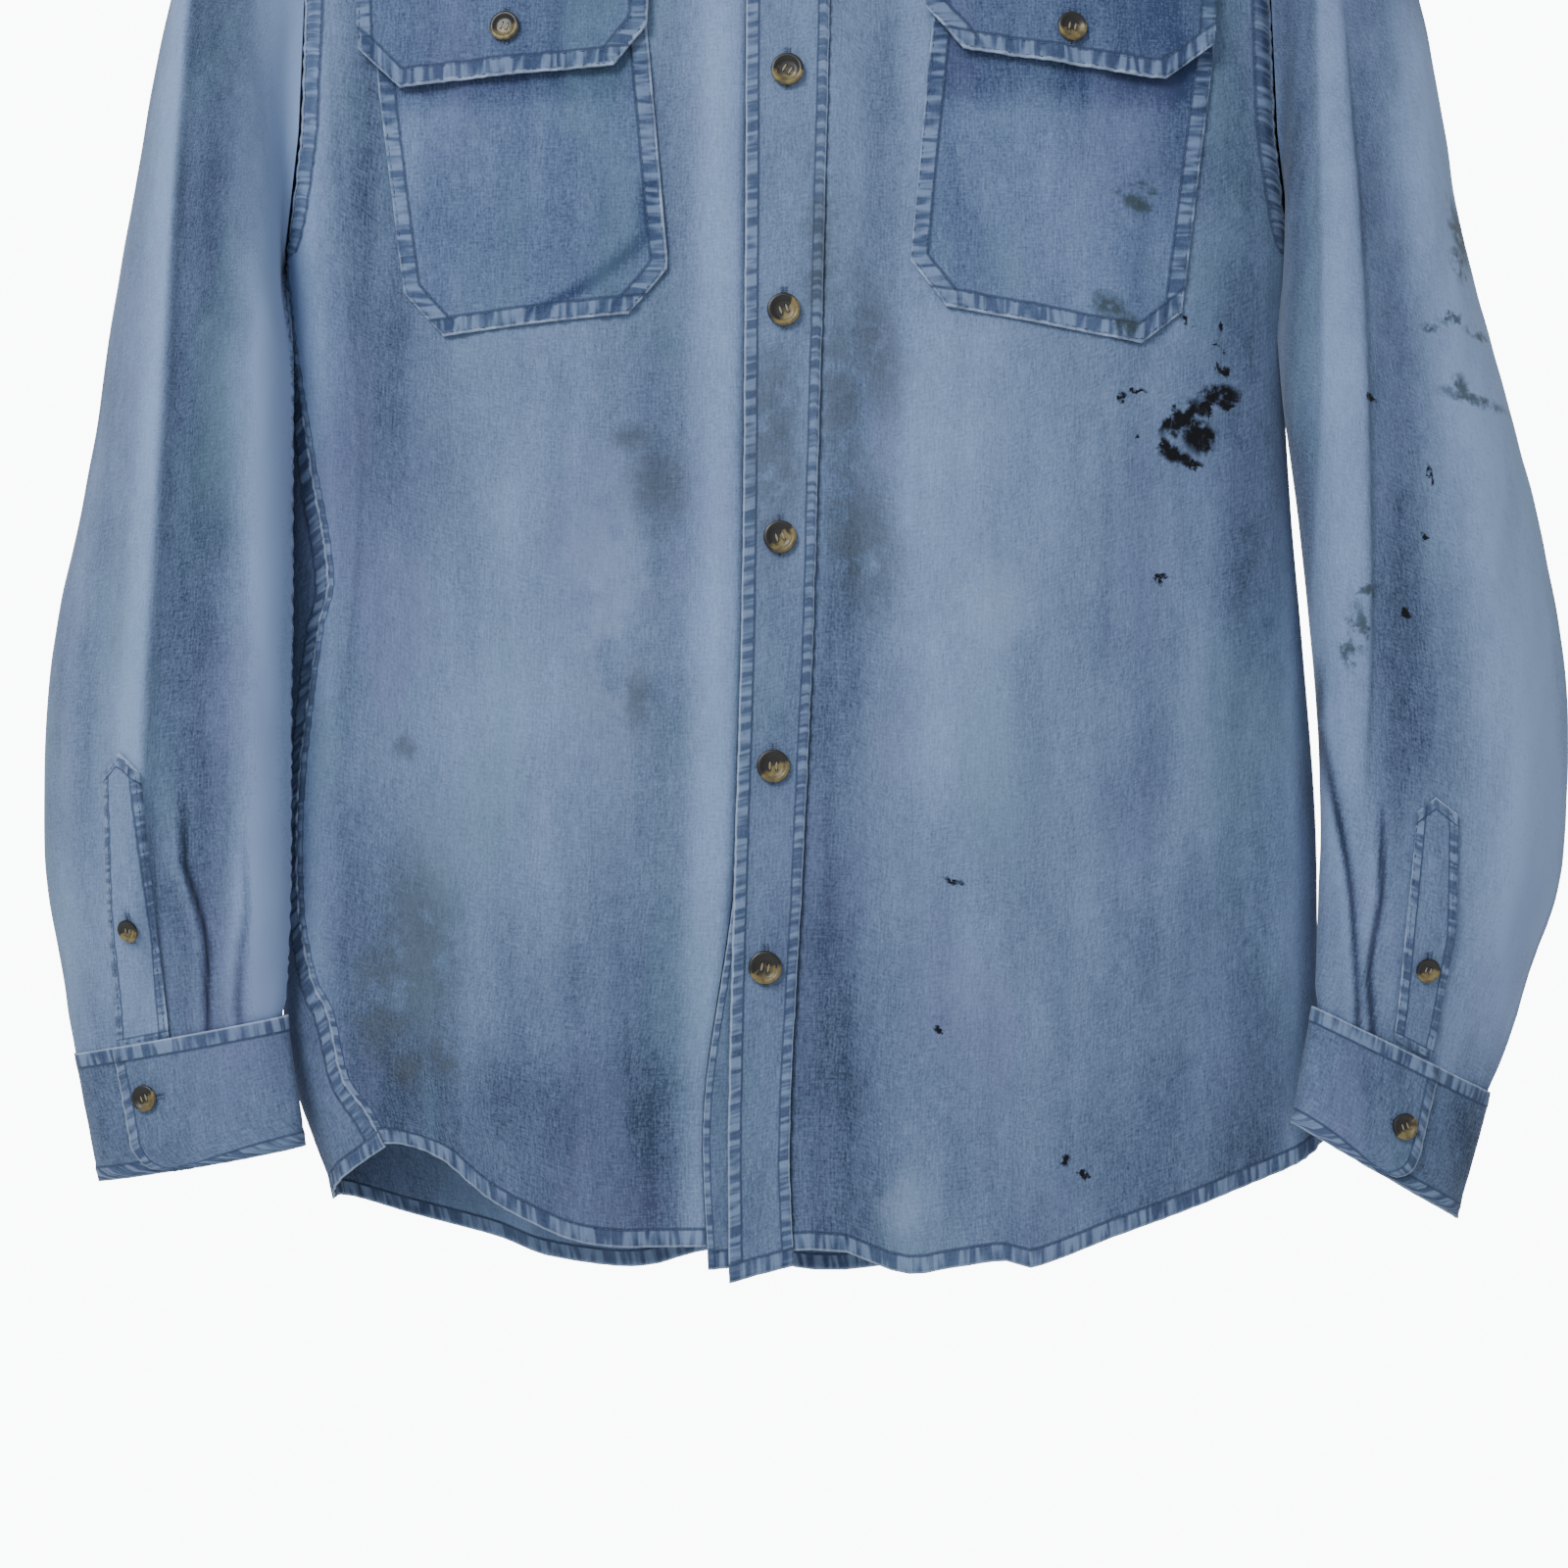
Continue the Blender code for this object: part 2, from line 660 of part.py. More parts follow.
def button(name, collection, place, x, z, width, lift):
    """A turned button that lies on the cloth at (x, z), its middle a little hollow."""
    radius = width / 2
    profile = [(0, 0.72), (0.62, 0.72), (0.8, 1), (1, 0.6), (0.88, 0), (0, 0)]
    data = bpy.data.meshes.new(name)
    outline = bmesh.new()
    points = []
    for across, up in profile:
        points.append(outline.verts.new((radius * across * MM, 0, BUTTON_HEIGHT * up * MM)))
    for first, second in zip(points, points[1:]):
        outline.edges.new((first, second))
    outline.to_mesh(data)
    data.materials.append(material(name + "_horn", (0.10, 0.065, 0.03), 0.35))
    thing = bpy.data.objects.new(name, data)
    collection.objects.link(thing)
    screw = thing.modifiers.new("turned", "SCREW")
    screw.steps = 12
    screw.render_steps = 12
    screw.use_merge_vertices = True
    screw.merge_threshold = 0.00001
    screw.use_smooth_shade = True
    hit, normal, _, _ = place.ray_cast(Vector((x * MM, -1, z * MM)), Vector((0, 1, 0)))
    if normal.y > 0:
        normal = -normal
    thing.location = hit + normal * lift * MM
    thing.rotation_euler = normal.to_track_quat("Z", "Y").to_euler()


def tube(name, collection, points, radius, colour, roughness, metallic=0.0):
    """A round bar or wire through some points."""
    data = bpy.data.curves.new(name, "CURVE")
    data.dimensions = "3D"
    data.bevel_depth = radius * MM
    data.bevel_resolution = 2
    data.use_fill_caps = True
    spline = data.splines.new("POLY")
    spline.points.add(len(points) - 1)
    for slot, point in zip(spline.points, points):
        slot.co = (*(Vector(point) * MM), 1)
    data.materials.append(material(name + "_finish", colour, roughness, metallic))
    thing = bpy.data.objects.new(name, data)
    collection.objects.link(thing)


def hanger(collection):
    """A plain shaped bar with a wire hook."""
    bar = []
    for step in range(-10, 11):
        x = HANGER_REACH * step / 10
        arm = HIGH_SHOULDER - 10 - SHOULDER_DROP * (abs(x) - NECK_HALF) / (SHOULDER_HALF - NECK_HALF)
        crown = HIGH_SHOULDER + 4 - 14 * (x / NECK_HALF) ** 2
        bar.append((x, 0, min(arm, crown) if abs(x) > NECK_HALF / 2 else crown))
    tube("hanger_bar", collection, bar, HANGER_RADIUS, (0.55, 0.42, 0.28), 0.5)
    reach = HOOK_INSIDE + WIRE_RADIUS
    hook = []
    for step in range(19):
        angle = math.radians(200 - 15 * step)
        hook.append((reach * math.cos(angle), 0, reach * math.sin(angle) - HOOK_INSIDE))
    hook.append((1.5, 0, -40.5))
    hook.append((0, 0, -44))
    hook.append((0, 0, bar[10][2] + HANGER_RADIUS + 0.3))
    tube("hanger_hook", collection, hook, WIRE_RADIUS, (0.6, 0.6, 0.62), 0.3, 1.0)


# Pocket and flap outlines, (x, z)
POCKETS = {
    -1: [(-195, -296), (-190, -350), (-177, -446), (-158, -467), (-73, -457), (-55, -435),
         (-64, -335), (-68, -296)],
    1: [(69, -292), (65, -335), (55, -431), (72, -454), (162, -470), (181, -455), (197, -336),
        (200, -292)],
}
FLAPS = {
    -1: [(-201, -279), (-200, -331), (-179, -351), (-80, -343), (-64, -323), (-65, -276)],
    1: [(64, -276), (63, -315), (80, -335), (173, -348), (197, -330), (201, -279)],
}
# Sleeve placket outlines, (x, z)
GAUNTLETS = {
    -1: [(-299, -658), (-308, -667), (-307, -793), (-282, -788), (-289, -667)],
    1: [(290, -678), (280, -686), (277, -741), (273, -787), (292, -797), (300, -741), (300, -686)],
}
# Buttons, (x, z)
FLAP_BUTTONS = {-1: (-129.5, -325), 1: (129.5, -325)}
SLIT_BUTTONS = {-1: (-295, -737), 1: (287, -755)}
CUFF_BUTTONS = {-1: (-292, -815), 1: (277, -827)}
COLLAR_BUTTON = (-1, -152)
BUTTON_HEIGHTS = (-236, -345, -456, -560, -664, -755)
SINGLE_LIFT = 0.9      # a button's underside above the middle of a single wall
BAND_LIFT = 1.2        # and of a doubled one


def shirt():
    """Cuts, hangs and buttons up the whole shirt."""
    for thing in list(bpy.data.objects):
        bpy.data.objects.remove(thing, do_unlink=True)
    parts = bpy.data.collections.new("denim_work_shirt")
    bpy.context.scene.collection.children.link(parts)

    yoke, front_turn = yoke_sheet()
    piece("yoke", yoke, parts, DENIM)
    piece("back", back_sheet(), parts, DENIM)
    placket = placket_sheet()
    piece("placket", placket, parts, DENIM_BAND, wall=BAND)
    piece("button_band", button_band_sheet(), parts, DENIM_BAND)
    stand = stand_sheet()
    piece("collar_stand", stand, parts, DENIM_BAND)
    piece("collar", leaf_sheet(), parts, DENIM)

    for side, word in ((-1, "left"), (1, "right")):
        front = front_sheet(side)
        piece("front_" + word, front, parts, DENIM)
        flap = lying_on(front, 2 * LAYER, FLAPS[side])
        piece("pocket_" + word, lying_on(front, LAYER, POCKETS[side]), parts, DENIM_BAND)
        piece("flap_" + word, flap, parts, DENIM_BAND)
        button("flap_button_" + word, parts, surface(flap), *FLAP_BUTTONS[side], FLAP_BUTTON,
               SINGLE_LIFT)
        sleeve = sleeve_sheet(side, armhole(side, front_turn))
        piece("sleeve_" + word, sleeve, parts, DENIM)
        gauntlet = lying_on(sleeve, LAYER, GAUNTLETS[side])
        piece("sleeve_placket_" + word, gauntlet, parts, DENIM_BAND)
        button("sleeve_placket_button_" + word, parts, surface(gauntlet), *SLIT_BUTTONS[side],
               SLIT_BUTTON, SINGLE_LIFT)
        cuff = cuff_sheet(side)
        piece("cuff_" + word, cuff, parts, DENIM_BAND, wall=BAND)
        button("cuff_button_" + word, parts, surface(cuff), *CUFF_BUTTONS[side], CUFF_BUTTON,
               BAND_LIFT)

    placket_tree = surface(placket)
    for number, z in enumerate(BUTTON_HEIGHTS, 1):
        x = (placket_left(z) + placket_right(z)) / 2
        button("front_button_%d" % number, parts, placket_tree, x, z, FRONT_BUTTON, BAND_LIFT)
    button("collar_button", parts, surface(stand), *COLLAR_BUTTON, FLAP_BUTTON, SINGLE_LIFT)
    hanger(parts)


shirt()
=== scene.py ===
# %% [markdown]
# # A washed denim work shirt on its hanger
# The shirt hangs buttoned and flat. Its cloth is thin, soft from many washes, faded on every
# ridge and puckered along every seam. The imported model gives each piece's place as a plain
# solid. Here each piece is made again as a fine shell on the same surfaces, and gets its weave,
# its seams, its stitches and its stains.

# %% The frame
import math

import bmesh
import bpy
import numpy as np
from mathutils import Matrix, Vector
from mathutils.bvhtree import BVHTree


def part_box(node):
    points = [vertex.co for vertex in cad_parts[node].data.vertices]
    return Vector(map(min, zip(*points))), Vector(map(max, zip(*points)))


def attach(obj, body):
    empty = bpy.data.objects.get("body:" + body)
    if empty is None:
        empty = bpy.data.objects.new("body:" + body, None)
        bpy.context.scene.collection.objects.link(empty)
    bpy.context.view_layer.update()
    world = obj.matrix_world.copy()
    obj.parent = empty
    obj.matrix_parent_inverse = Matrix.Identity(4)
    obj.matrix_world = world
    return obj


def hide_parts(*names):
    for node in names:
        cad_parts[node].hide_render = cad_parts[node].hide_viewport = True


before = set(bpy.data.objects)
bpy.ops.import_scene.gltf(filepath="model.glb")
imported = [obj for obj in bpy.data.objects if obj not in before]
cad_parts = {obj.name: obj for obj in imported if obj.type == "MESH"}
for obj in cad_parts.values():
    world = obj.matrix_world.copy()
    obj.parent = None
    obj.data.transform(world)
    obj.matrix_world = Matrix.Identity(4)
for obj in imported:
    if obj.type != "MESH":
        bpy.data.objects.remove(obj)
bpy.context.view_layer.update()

MM = 0.001

# %% [markdown]
# ## Lines that everything follows
# A shirt is a few outlines and the cloth between them. Each outline is a smooth curve through a
# handful of points in millimetres, measured from the hook: the two edges of the hanging body,
# how deep it is in front and behind, where seams run and where hems end. Working on whole
# arrays at once keeps fine meshes quick to make.

# %% Smooth curves
def smooth_line(*points):
    """A smooth curve through (key, value) points that works on arrays, level beyond its ends."""
    keys = np.array([point[0] for point in points], float)
    values = np.array([point[1:] for point in points], float)
    slopes = np.empty_like(values)
    slopes[1:-1] = (values[2:] - values[:-2]) / (keys[2:] - keys[:-2])[:, None]
    slopes[0] = (values[1] - values[0]) / (keys[1] - keys[0])
    slopes[-1] = (values[-1] - values[-2]) / (keys[-1] - keys[-2])

    def at(key):
        key = np.clip(np.asarray(key, float), keys[0], keys[-1])
        i = np.clip(np.searchsorted(keys, key, side="right") - 1, 0, len(keys) - 2)
        span = (keys[i + 1] - keys[i])[..., None]
        u = (key - keys[i])[..., None] / span
        value = ((2 * u**3 - 3 * u**2 + 1) * values[i] + (u**3 - 2 * u**2 + u) * span * slopes[i]
                 + (3 * u**2 - 2 * u**3) * values[i + 1] + (u**3 - u**2) * span * slopes[i + 1])
        return value[..., 0] if values.shape[1] == 1 else value

    return at


left_edge = smooth_line((-905, -208), (-866, -213), (-817, -229), (-775, -237), (-672, -237),
                        (-540, -236), (-500, -235), (-455, -234), (-425, -236), (-300, -240), (-80, -240))
right_edge = smooth_line((-905, 251), (-852, 250), (-764, 248), (-686, 247), (-603, 241),
                         (-540, 236), (-470, 233), (-425, 236), (-300, 238), (-80, 238))
front_depth = smooth_line((-900, -76), (-650, -68), (-450, -60), (-300, -50), (-165, -40), (-80, -27))
back_depth = smooth_line((-910, 24), (-650, 24), (-450, 25), (-300, 26), (-165, 28), (-80, 26))
squareness = smooth_line((-900, 2.7), (-450, 2.6), (-250, 2.3), (-80, 2.2))

left_side_seam = smooth_line((-838, -184), (-821, -194), (-808, -204), (-776, -212), (-763, -219),
                             (-730, -226), (-672, -226), (-600, -217), (-578, -212), (-520, -222),
                             (-470, -231), (-425, -236))
placket_left = smooth_line((-899, -27), (-815, -27.5), (-708, -25), (-584, -21.5), (-310, -19.5),
                           (-165, -17))
placket_right = smooth_line((-899, 3.5), (-832, 1), (-708, 7), (-584, 12), (-310, 19.5), (-165, 18))
band_peek = smooth_line((-895, 9), (-820, 10.5), (-738, 1), (-700, -2), (-165, -2))

front_left_hem = smooth_line((-190, -837), (-175, -837), (-157, -844), (-138, -858), (-118, -869),
                             (-97, -878), (-77, -882), (-59, -882), (-30, -880))
front_right_hem = smooth_line((6, -883), (18, -881), (32, -887), (52, -893), (72, -890), (97, -887),
                              (107, -890), (146, -877), (191, -862), (234, -847), (250, -838))
back_hem = smooth_line((-213, -866), (-186, -878), (-147, -892), (-126, -902), (-82, -907),
                       (-40, -899), (0, -908), (50, -905), (115, -896), (155, -882), (200, -866),
                       (250, -838))

UNDERARM = -425
HIGH_SHOULDER = -82
NECK_HALF = 72
SHOULDER_HALF = 222
SHOULDER_DROP = 78
CLOSING = 70
YOKE_FRONT = 35
YOKE_BACK = -205
FRONT_NECK_DROP = 51
BACK_NECK_DROP = 18
PLACKET_LIFT = 2.1
print("the cloth hangs from %d mm to %d mm" % (HIGH_SHOULDER, back_hem(0)))

# %% [markdown]
# ## The body of the shirt
# Cut level anywhere, the hanging body is a squared-off oval, flatter than a worn shirt. An angle
# goes round that oval and a height goes down it. Close to the shoulder line the front and the
# back round over towards each other, onto the hanger.

# %% The body's surface
def shoulder(x):
    """Height of the shoulder line; over the neck it runs on upwards and only guides the back."""
    out = np.abs(x) - NECK_HALF
    return np.where(out < 0, HIGH_SHOULDER - 2 * out,
                    HIGH_SHOULDER - SHOULDER_DROP * out / (SHOULDER_HALF - NECK_HALF))


def front_top(x):
    """Top edge of a front: the yoke's front seam, then down round the neck."""
    round_in = np.sqrt(np.clip(1 - (x / NECK_HALF) ** 2, 0, 1))
    neck = HIGH_SHOULDER - YOKE_FRONT - FRONT_NECK_DROP * round_in
    return np.where(np.abs(x) >= NECK_HALF, shoulder(x) - YOKE_FRONT, neck)


def back_neck(x):
    return HIGH_SHOULDER - BACK_NECK_DROP * np.sqrt(np.clip(1 - (x / NECK_HALF) ** 2, 0, 1))


def step(value, low, high):
    """0 below low, 1 above high, and a soft step between."""
    t = np.clip((value - low) / (high - low), 0, 1)
    return t * t * (3 - 2 * t)


def fold(x, z, centre, width, height, top=-120, bottom=-1100, fade=50, crisp=None):
    """A long soft ridge, or a trough if height is negative, along the line centre(z).
    With crisp its right side drops within that many millimetres."""
    away = x - centre(z)
    across = np.exp(-(away / width) ** 2)
    if crisp:
        across = np.where(away > 0, np.exp(-(away / crisp) ** 2), across)
    return height * across * (1 - step(z, top, top + fade)) * step(z, bottom, bottom + fade)


def body(angle, z, folds=True):
    """Points of the body's cloth. Angle 0 is the right edge, a quarter turn the front's middle."""
    low = left_edge(z)
    high = right_edge(z)
    power = 2 / squareness(z)
    c = np.cos(angle)
    s = np.sin(angle)
    x = (low + high) / 2 + (high - low) / 2 * np.sign(c) * np.abs(c) ** power
    below = np.clip((shoulder(x) - z) / CLOSING, 0, 1)
    closing = np.sqrt(1 - (1 - below) ** 2)
    half = (back_depth(z) - front_depth(z)) / 2
    y = (front_depth(z) + back_depth(z)) / 2 - half * np.sign(s) * np.abs(s) ** power * closing
    if folds:
        steady = np.clip(np.abs(s) * 1.2, 0, 1) ** 2
        y = np.where(s > 0, y - front_folds(x, z) * steady, y + back_folds(x, z) * steady)
    return np.stack([x, y, z + 0 * x], axis=-1)


def angle_at(x, z, back=False):
    """The angle at which the cloth passes x, on its front or its back."""
    low = left_edge(z)
    high = right_edge(z)
    c = np.clip((2 * x - low - high) / (high - low), -1, 1)
    angle = np.arccos(np.sign(c) * np.abs(c) ** (squareness(z) / 2))
    return 2 * np.pi - angle if back else angle


def side_angle(z, side, back=False):
    """The angle of the side seam, and above it of the front or back armhole."""
    z = np.asarray(z, float)
    if side < 0:
        seam = angle_at(left_side_seam(z), z)
    else:
        seam = (2 * np.pi if back else 0) - math.radians(13) * np.clip((UNDERARM - z) / 90, 0, 1)
    rise = np.clip((z - UNDERARM) / 230, 0, None)
    if back:
        x = 236 - 24 * np.clip(rise * 2.2, 0, 1) ** 0.8 + 3 * rise
    else:
        x = 236 - 7 * np.clip(rise * 4, 0, 1) ** 0.7 - 6 * rise
    return np.where(z <= UNDERARM, seam, angle_at(side * x, z, back))


# %% [markdown]
# ## Folds
# Cloth that hangs from two points falls in long, nearly upright folds. On the real shirt a sharp
# one runs down from the left armpit, one stands beside the placket, and broad soft ones cross
# both fronts. Each is a ridge or a trough with its own line, width and height.

# %% The folds of the body
beside_placket = smooth_line((-900, -37), (-650, -32), (-300, -30))
left_trough = smooth_line((-900, -66), (-500, -56))
left_ridge = smooth_line((-900, -128), (-450, -118))
armpit_fold = smooth_line((-680, -220), (-628, -207), (-570, -201), (-510, -200), (-450, -206), (-390, -213),
                          (-320, -217))
armpit_shade = smooth_line((-900, -170), (-640, -184), (-400, -190))
left_low = smooth_line((-900, -95), (-700, -150))
right_trough = smooth_line((-900, 30), (-672, 20), (-560, 27), (-450, 42), (-300, 50))
right_ridge = smooth_line((-900, 110), (-300, 92))
right_second = smooth_line((-900, 175), (-400, 150))
right_rim = smooth_line((-900, 214), (-350, 208))
hem_wave = smooth_line((-900, 60), (-700, 75))
back_lines = [(smooth_line((-900, -120), (-250, -95)), 30, 6), (smooth_line((-900, 15), (-250, -5)), 34, -5),
              (smooth_line((-900, 140), (-250, 105)), 30, 6), (smooth_line((-900, -190), (-250, -165)), 18, -3.5),
              (smooth_line((-900, 70), (-250, 45)), 16, 2.5), (smooth_line((-900, -50), (-250, -40)), 14, 2)]
pocket_crease = smooth_line((-466, -140), (-449, -101), (-433, -78), (-419, -64))


def front_folds(x, z):
    """How far the fronts' folds stand out."""
    return (fold(x, z, beside_placket, 9, 3.4, -340) + fold(x, z, left_trough, 20, -4.5, -440)
            + fold(x, z, left_ridge, 40, 4.5, -470) + fold(x, z, armpit_fold, 17, 6.5, -300, -680, 70, 3.2)
            + fold(x, z, armpit_shade, 26, -3.5, -330) + fold(x, z, left_low, 22, 2, -690)
            + fold(x, z, right_trough, 15, -4, -300) + fold(x, z, right_ridge, 46, 4, -480)
            + fold(x, z, right_second, 13, 1.8, -470) + fold(x, z, right_rim, 15, -3, -330)
            + fold(x, z, hem_wave, 16, 1.6, -800))


def back_folds(x, z):
    total = 0
    for line, width, height in back_lines:
        total = total + fold(x, z, line, width, height, -300, fade=90)
    return total


# %% [markdown]
# ## From points to cloth
# A grid of points becomes a mesh with three things that its material needs: a UV map in metres
# along the threads, and two distances counted in seam widths, one to the nearest upright seam
# and one to the nearest level seam. They place the stitch groove, the puckers and the pale worn
# edge. Small ripples along each seam and faint wrinkles are real shape, moved along the normals.

# %% Grids, distances and ripples
FINE = 2.7             # mesh step on the cloth, mm
SHELL = 0.7            # thickness of one layer as it looks, mm
FAR = 9.0              # a distance that means no seam is near
pieces = {}


def steps_for(length):
    return max(int(round(length / FINE)), 3)


def grid(columns, rows, place):
    """Points from place(across, up), whose arguments run from 0 to 1."""
    across, up = np.meshgrid(np.linspace(0, 1, columns + 1), np.linspace(0, 1, rows + 1))
    return place(across, up)


def run_lengths(points, axis):
    """Distance along the cloth from the first row or column to each point."""
    gaps = np.linalg.norm(np.diff(points, axis=axis), axis=-1)
    start = np.zeros_like(np.take(gaps, [0], axis=axis))
    return np.concatenate([start, np.cumsum(gaps, axis=axis)], axis=axis)


def normals(points):
    across = np.gradient(points, axis=1)
    up = np.gradient(points, axis=0)
    normal = np.cross(across, up)
    return normal / np.maximum(np.linalg.norm(normal, axis=-1, keepdims=True), 1e-9)


def uneven_wave(s, length, seed):
    """A wave whose length wanders, for puckers."""
    turn = 2 * np.pi * s / length
    return np.sin(turn + 1.4 * np.sin(turn / 5.3 + seed) + 0.9 * np.sin(turn / 2.7 + 2 * seed))


def wrinkle(u, v, seed):
    """Faint lengthwise unevenness of hung cotton, about one unit high."""
    total = 0
    rng = np.random.default_rng(seed)
    for across, along in ((26, 210), (41, 300), (17, 120), (63, 170), (11, 60)):
        a, b, lean = rng.uniform(0, 6.28), rng.uniform(0, 6.28), rng.uniform(-0.25, 0.25)
        total = total + (np.sin(6.28 * (u + lean * v) / across + a) * np.sin(6.28 * v / along + b)
                         * across / 60)
    return total


def seam_distances(points, left, right, bottom, top):
    """Distances to the seams on the four edges, each divided by its own seam's width."""
    u = run_lengths(points, 1)
    v = run_lengths(points, 0)
    side = np.full(u.shape, FAR)
    cross = np.full(u.shape, FAR)
    if np.any(left):
        side = np.minimum(side, u / left)
    if np.any(right):
        side = np.minimum(side, (u[:, -1:] - u) / right)
    if np.any(bottom):
        cross = np.minimum(cross, v / bottom)
    if np.any(top):
        cross = np.minimum(cross, (v[-1:] - v) / top)
    return u, v, side, cross


def dress(points, left=0, right=0, bottom=0, top=0, ripple=0.5, seed=1, outward=(0, -1, 0),
          wave=0.0, fade=0.0, warp=0.0):
    """Adds puckers and a wave to a grid of points and returns all that its mesh needs.
    Warp is the share of the width at which the upright threads follow the grid exactly."""
    u, v, side, cross = seam_distances(points, left, right, bottom, top)
    normal = normals(points)
    flip = 1 if (normal * np.asarray(outward)).sum(-1).mean() > 0 else -1
    near_side = np.exp(-(np.clip(side - 0.6, 0, None) / 0.7) ** 2)
    near_cross = np.exp(-(np.clip(cross - 0.6, 0, None) / 0.7) ** 2)
    lift = (ripple * near_side * uneven_wave(v, 8.5, seed)
            + ripple * near_cross * uneven_wave(u, 8.5, seed + 3) + 0.22 * ((side < 1) | (cross < 1)) + wave)
    points = points + normal * (flip * lift)[..., None]
    straight = u - u[:, [int(warp * (u.shape[1] - 1))]]
    return {"points": points, "normal": normal * flip, "u": u, "v": v, "side": side, "cross": cross,
            "fade": fade + 0 * u, "flip": flip, "thread": straight}


# %% Meshes from grids
sheets = {}            # every dressed sheet, by the node it stands for


def put(name, data):
    """A new object in the scene."""
    thing = bpy.data.objects.new(name, data)
    bpy.context.scene.collection.objects.link(thing)
    return thing


def cloth_mesh(sheet, closed=False):
    """An open mesh from a dressed grid, with its UV map and seam distances."""
    rows, columns = sheet["u"].shape
    cloth = bmesh.new()
    bmesh.ops.create_grid(cloth, x_segments=columns - 1, y_segments=rows - 1, size=1)
    data = bpy.data.meshes.new("sheet")
    cloth.to_mesh(data)
    cloth.clear()
    data.vertices.foreach_set("co", (sheet["points"] * MM).reshape(-1))
    for layer_name in ("side", "cross", "fade"):
        values = data.attributes.new(layer_name, "FLOAT", "POINT")
        values.data.foreach_set("value", sheet[layer_name].reshape(-1))
    corner = np.empty(len(data.loops), int)
    data.loops.foreach_get("vertex_index", corner)
    threads = np.stack([sheet.get("thread", sheet["u"]).reshape(-1), sheet["v"].reshape(-1)], -1)
    data.uv_layers.new(name="threads").data.foreach_set("uv", (threads[corner] * MM).reshape(-1))
    if sheet["flip"] < 0:
        data.flip_normals()
    cloth.from_mesh(data)
    bpy.data.meshes.remove(data)
    if closed:
        bmesh.ops.remove_doubles(cloth, verts=cloth.verts, dist=0.00002)
    return cloth


def outline_edges(outline):
    """Each edge of a convex (x, z) outline: its two ends and the normal that points inwards."""
    middle = np.mean(outline, axis=0)
    for start, end in zip(outline, outline[1:] + outline[:1]):
        start, end = np.array(start, float), np.array(end, float)
        way = end - start
        inwards = np.array([way[1], -way[0]]) / math.hypot(*way)
        yield start, end, inwards if inwards @ (middle - start) > 0 else -inwards


def cut_to(cloth, outline):
    """Cuts a sheet to a convex outline, looking along Y."""
    for start, _, inwards in outline_edges(outline):
        geometry = cloth.verts[:] + cloth.edges[:] + cloth.faces[:]
        bmesh.ops.bisect_plane(cloth, geom=geometry, dist=0.000005, clear_outer=True,
                               plane_co=Vector((start[0], 0, start[1])) * MM,
                               plane_no=Vector((-inwards[0], 0, -inwards[1])))


def finish_piece(node, sheet, finish, thickness=SHELL,
                 outline=None, closed=False):
    """Makes a sheet a thin shell, trimmed if it has an outline, attaches it to the root and hides the imported
    part it replaces.
    """
    cloth = cloth_mesh(sheet, closed)
    if outline:
        cut_to(cloth, outline)
    sheets[node] = sheet
    name = node + "_cloth"
    data = bpy.data.meshes.new(name)
    cloth.to_mesh(data)
    cloth.free()
    data.materials.append(finish)
    data.shade_smooth()
    thing = put(name, data)
    wall = thing.modifiers.new("thickness", "SOLIDIFY")
    wall.thickness = thickness * MM
    wall.offset = 0
    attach(thing, "root")
    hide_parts(node)

# %% [markdown]
# ## Cloth colour
# This is chambray-weight work denim: an indigo thread crossed by a white one, washed until the
# blue is chalky. The eye reads three scales. Near to, thin upright slubs. At arm's length,
# streaks and cloudy fading. From across a room, pale ridges and dark hollows, partly wash fading
# and partly painted light and shade, and every seam drawn as a rope of light and dark dashes,
# because only the high spots of a pucker lose their dye. A material made of noise at those scales,
# guided by the two seam distances and by a value of fading and painted light and shade on the mesh,
# gives all three.

# %% Small tools for materials
def linear(code):
    """A colour written as an sRGB hex code, turned to linear values."""
    values = [int(code[i:i + 2], 16) / 255 for i in (0, 2, 4)]
    return tuple(v / 12.92 if v <= 0.04045 else ((v + 0.055) / 1.055) ** 2.4 for v in values) + (1,)


def add(tree, kind, links=None, **settings):
    """Adds a node. Links maps an input to a value or to another node's output."""
    node = tree.nodes.new(kind)
    for name, value in settings.items():
        setattr(node, name, value)
    for key, value in (links or {}).items():
        if isinstance(value, bpy.types.NodeSocket):
            tree.links.new(value, node.inputs[key])
        else:
            node.inputs[key].default_value = value
    return node


def new_material(name):
    finish = bpy.data.materials.new(name)
    finish.use_nodes = True
    tree = finish.node_tree
    return finish, tree, tree.nodes["Principled BSDF"]


def noise(tree, vector, scale, detail=3, rough=0.55, distortion=0):
    """Cloudy noise from 0 to 1, about as many to a metre as its scale."""
    return add(tree, "ShaderNodeTexNoise", {"Vector": vector, "Scale": scale, "Detail": detail,
               "Roughness": rough, "Distortion": distortion}).outputs["Fac"]


def scaled(tree, vector, scale):
    """The vector with each of its parts multiplied."""
    return add(tree, "ShaderNodeVectorMath", {0: vector, 1: scale}, operation="MULTIPLY").outputs[0]


def maths(tree, operation, first, second=0.0, third=0.0):
    """One sum of a node tree; only MULTIPLY_ADD reads the third value."""
    return add(tree, "ShaderNodeMath", {0: first, 1: second, 2: third}, operation=operation).outputs[0]


def between(tree, value, low, high, to_low=0.0, to_high=1.0, smooth=True):
    """Remaps low..high to to_low..to_high and clamps."""
    return add(tree, "ShaderNodeMapRange", {"Value": value, "From Min": low, "From Max": high,
               "To Min": to_low, "To Max": to_high},
               interpolation_type="SMOOTHSTEP" if smooth else "LINEAR").outputs[0]


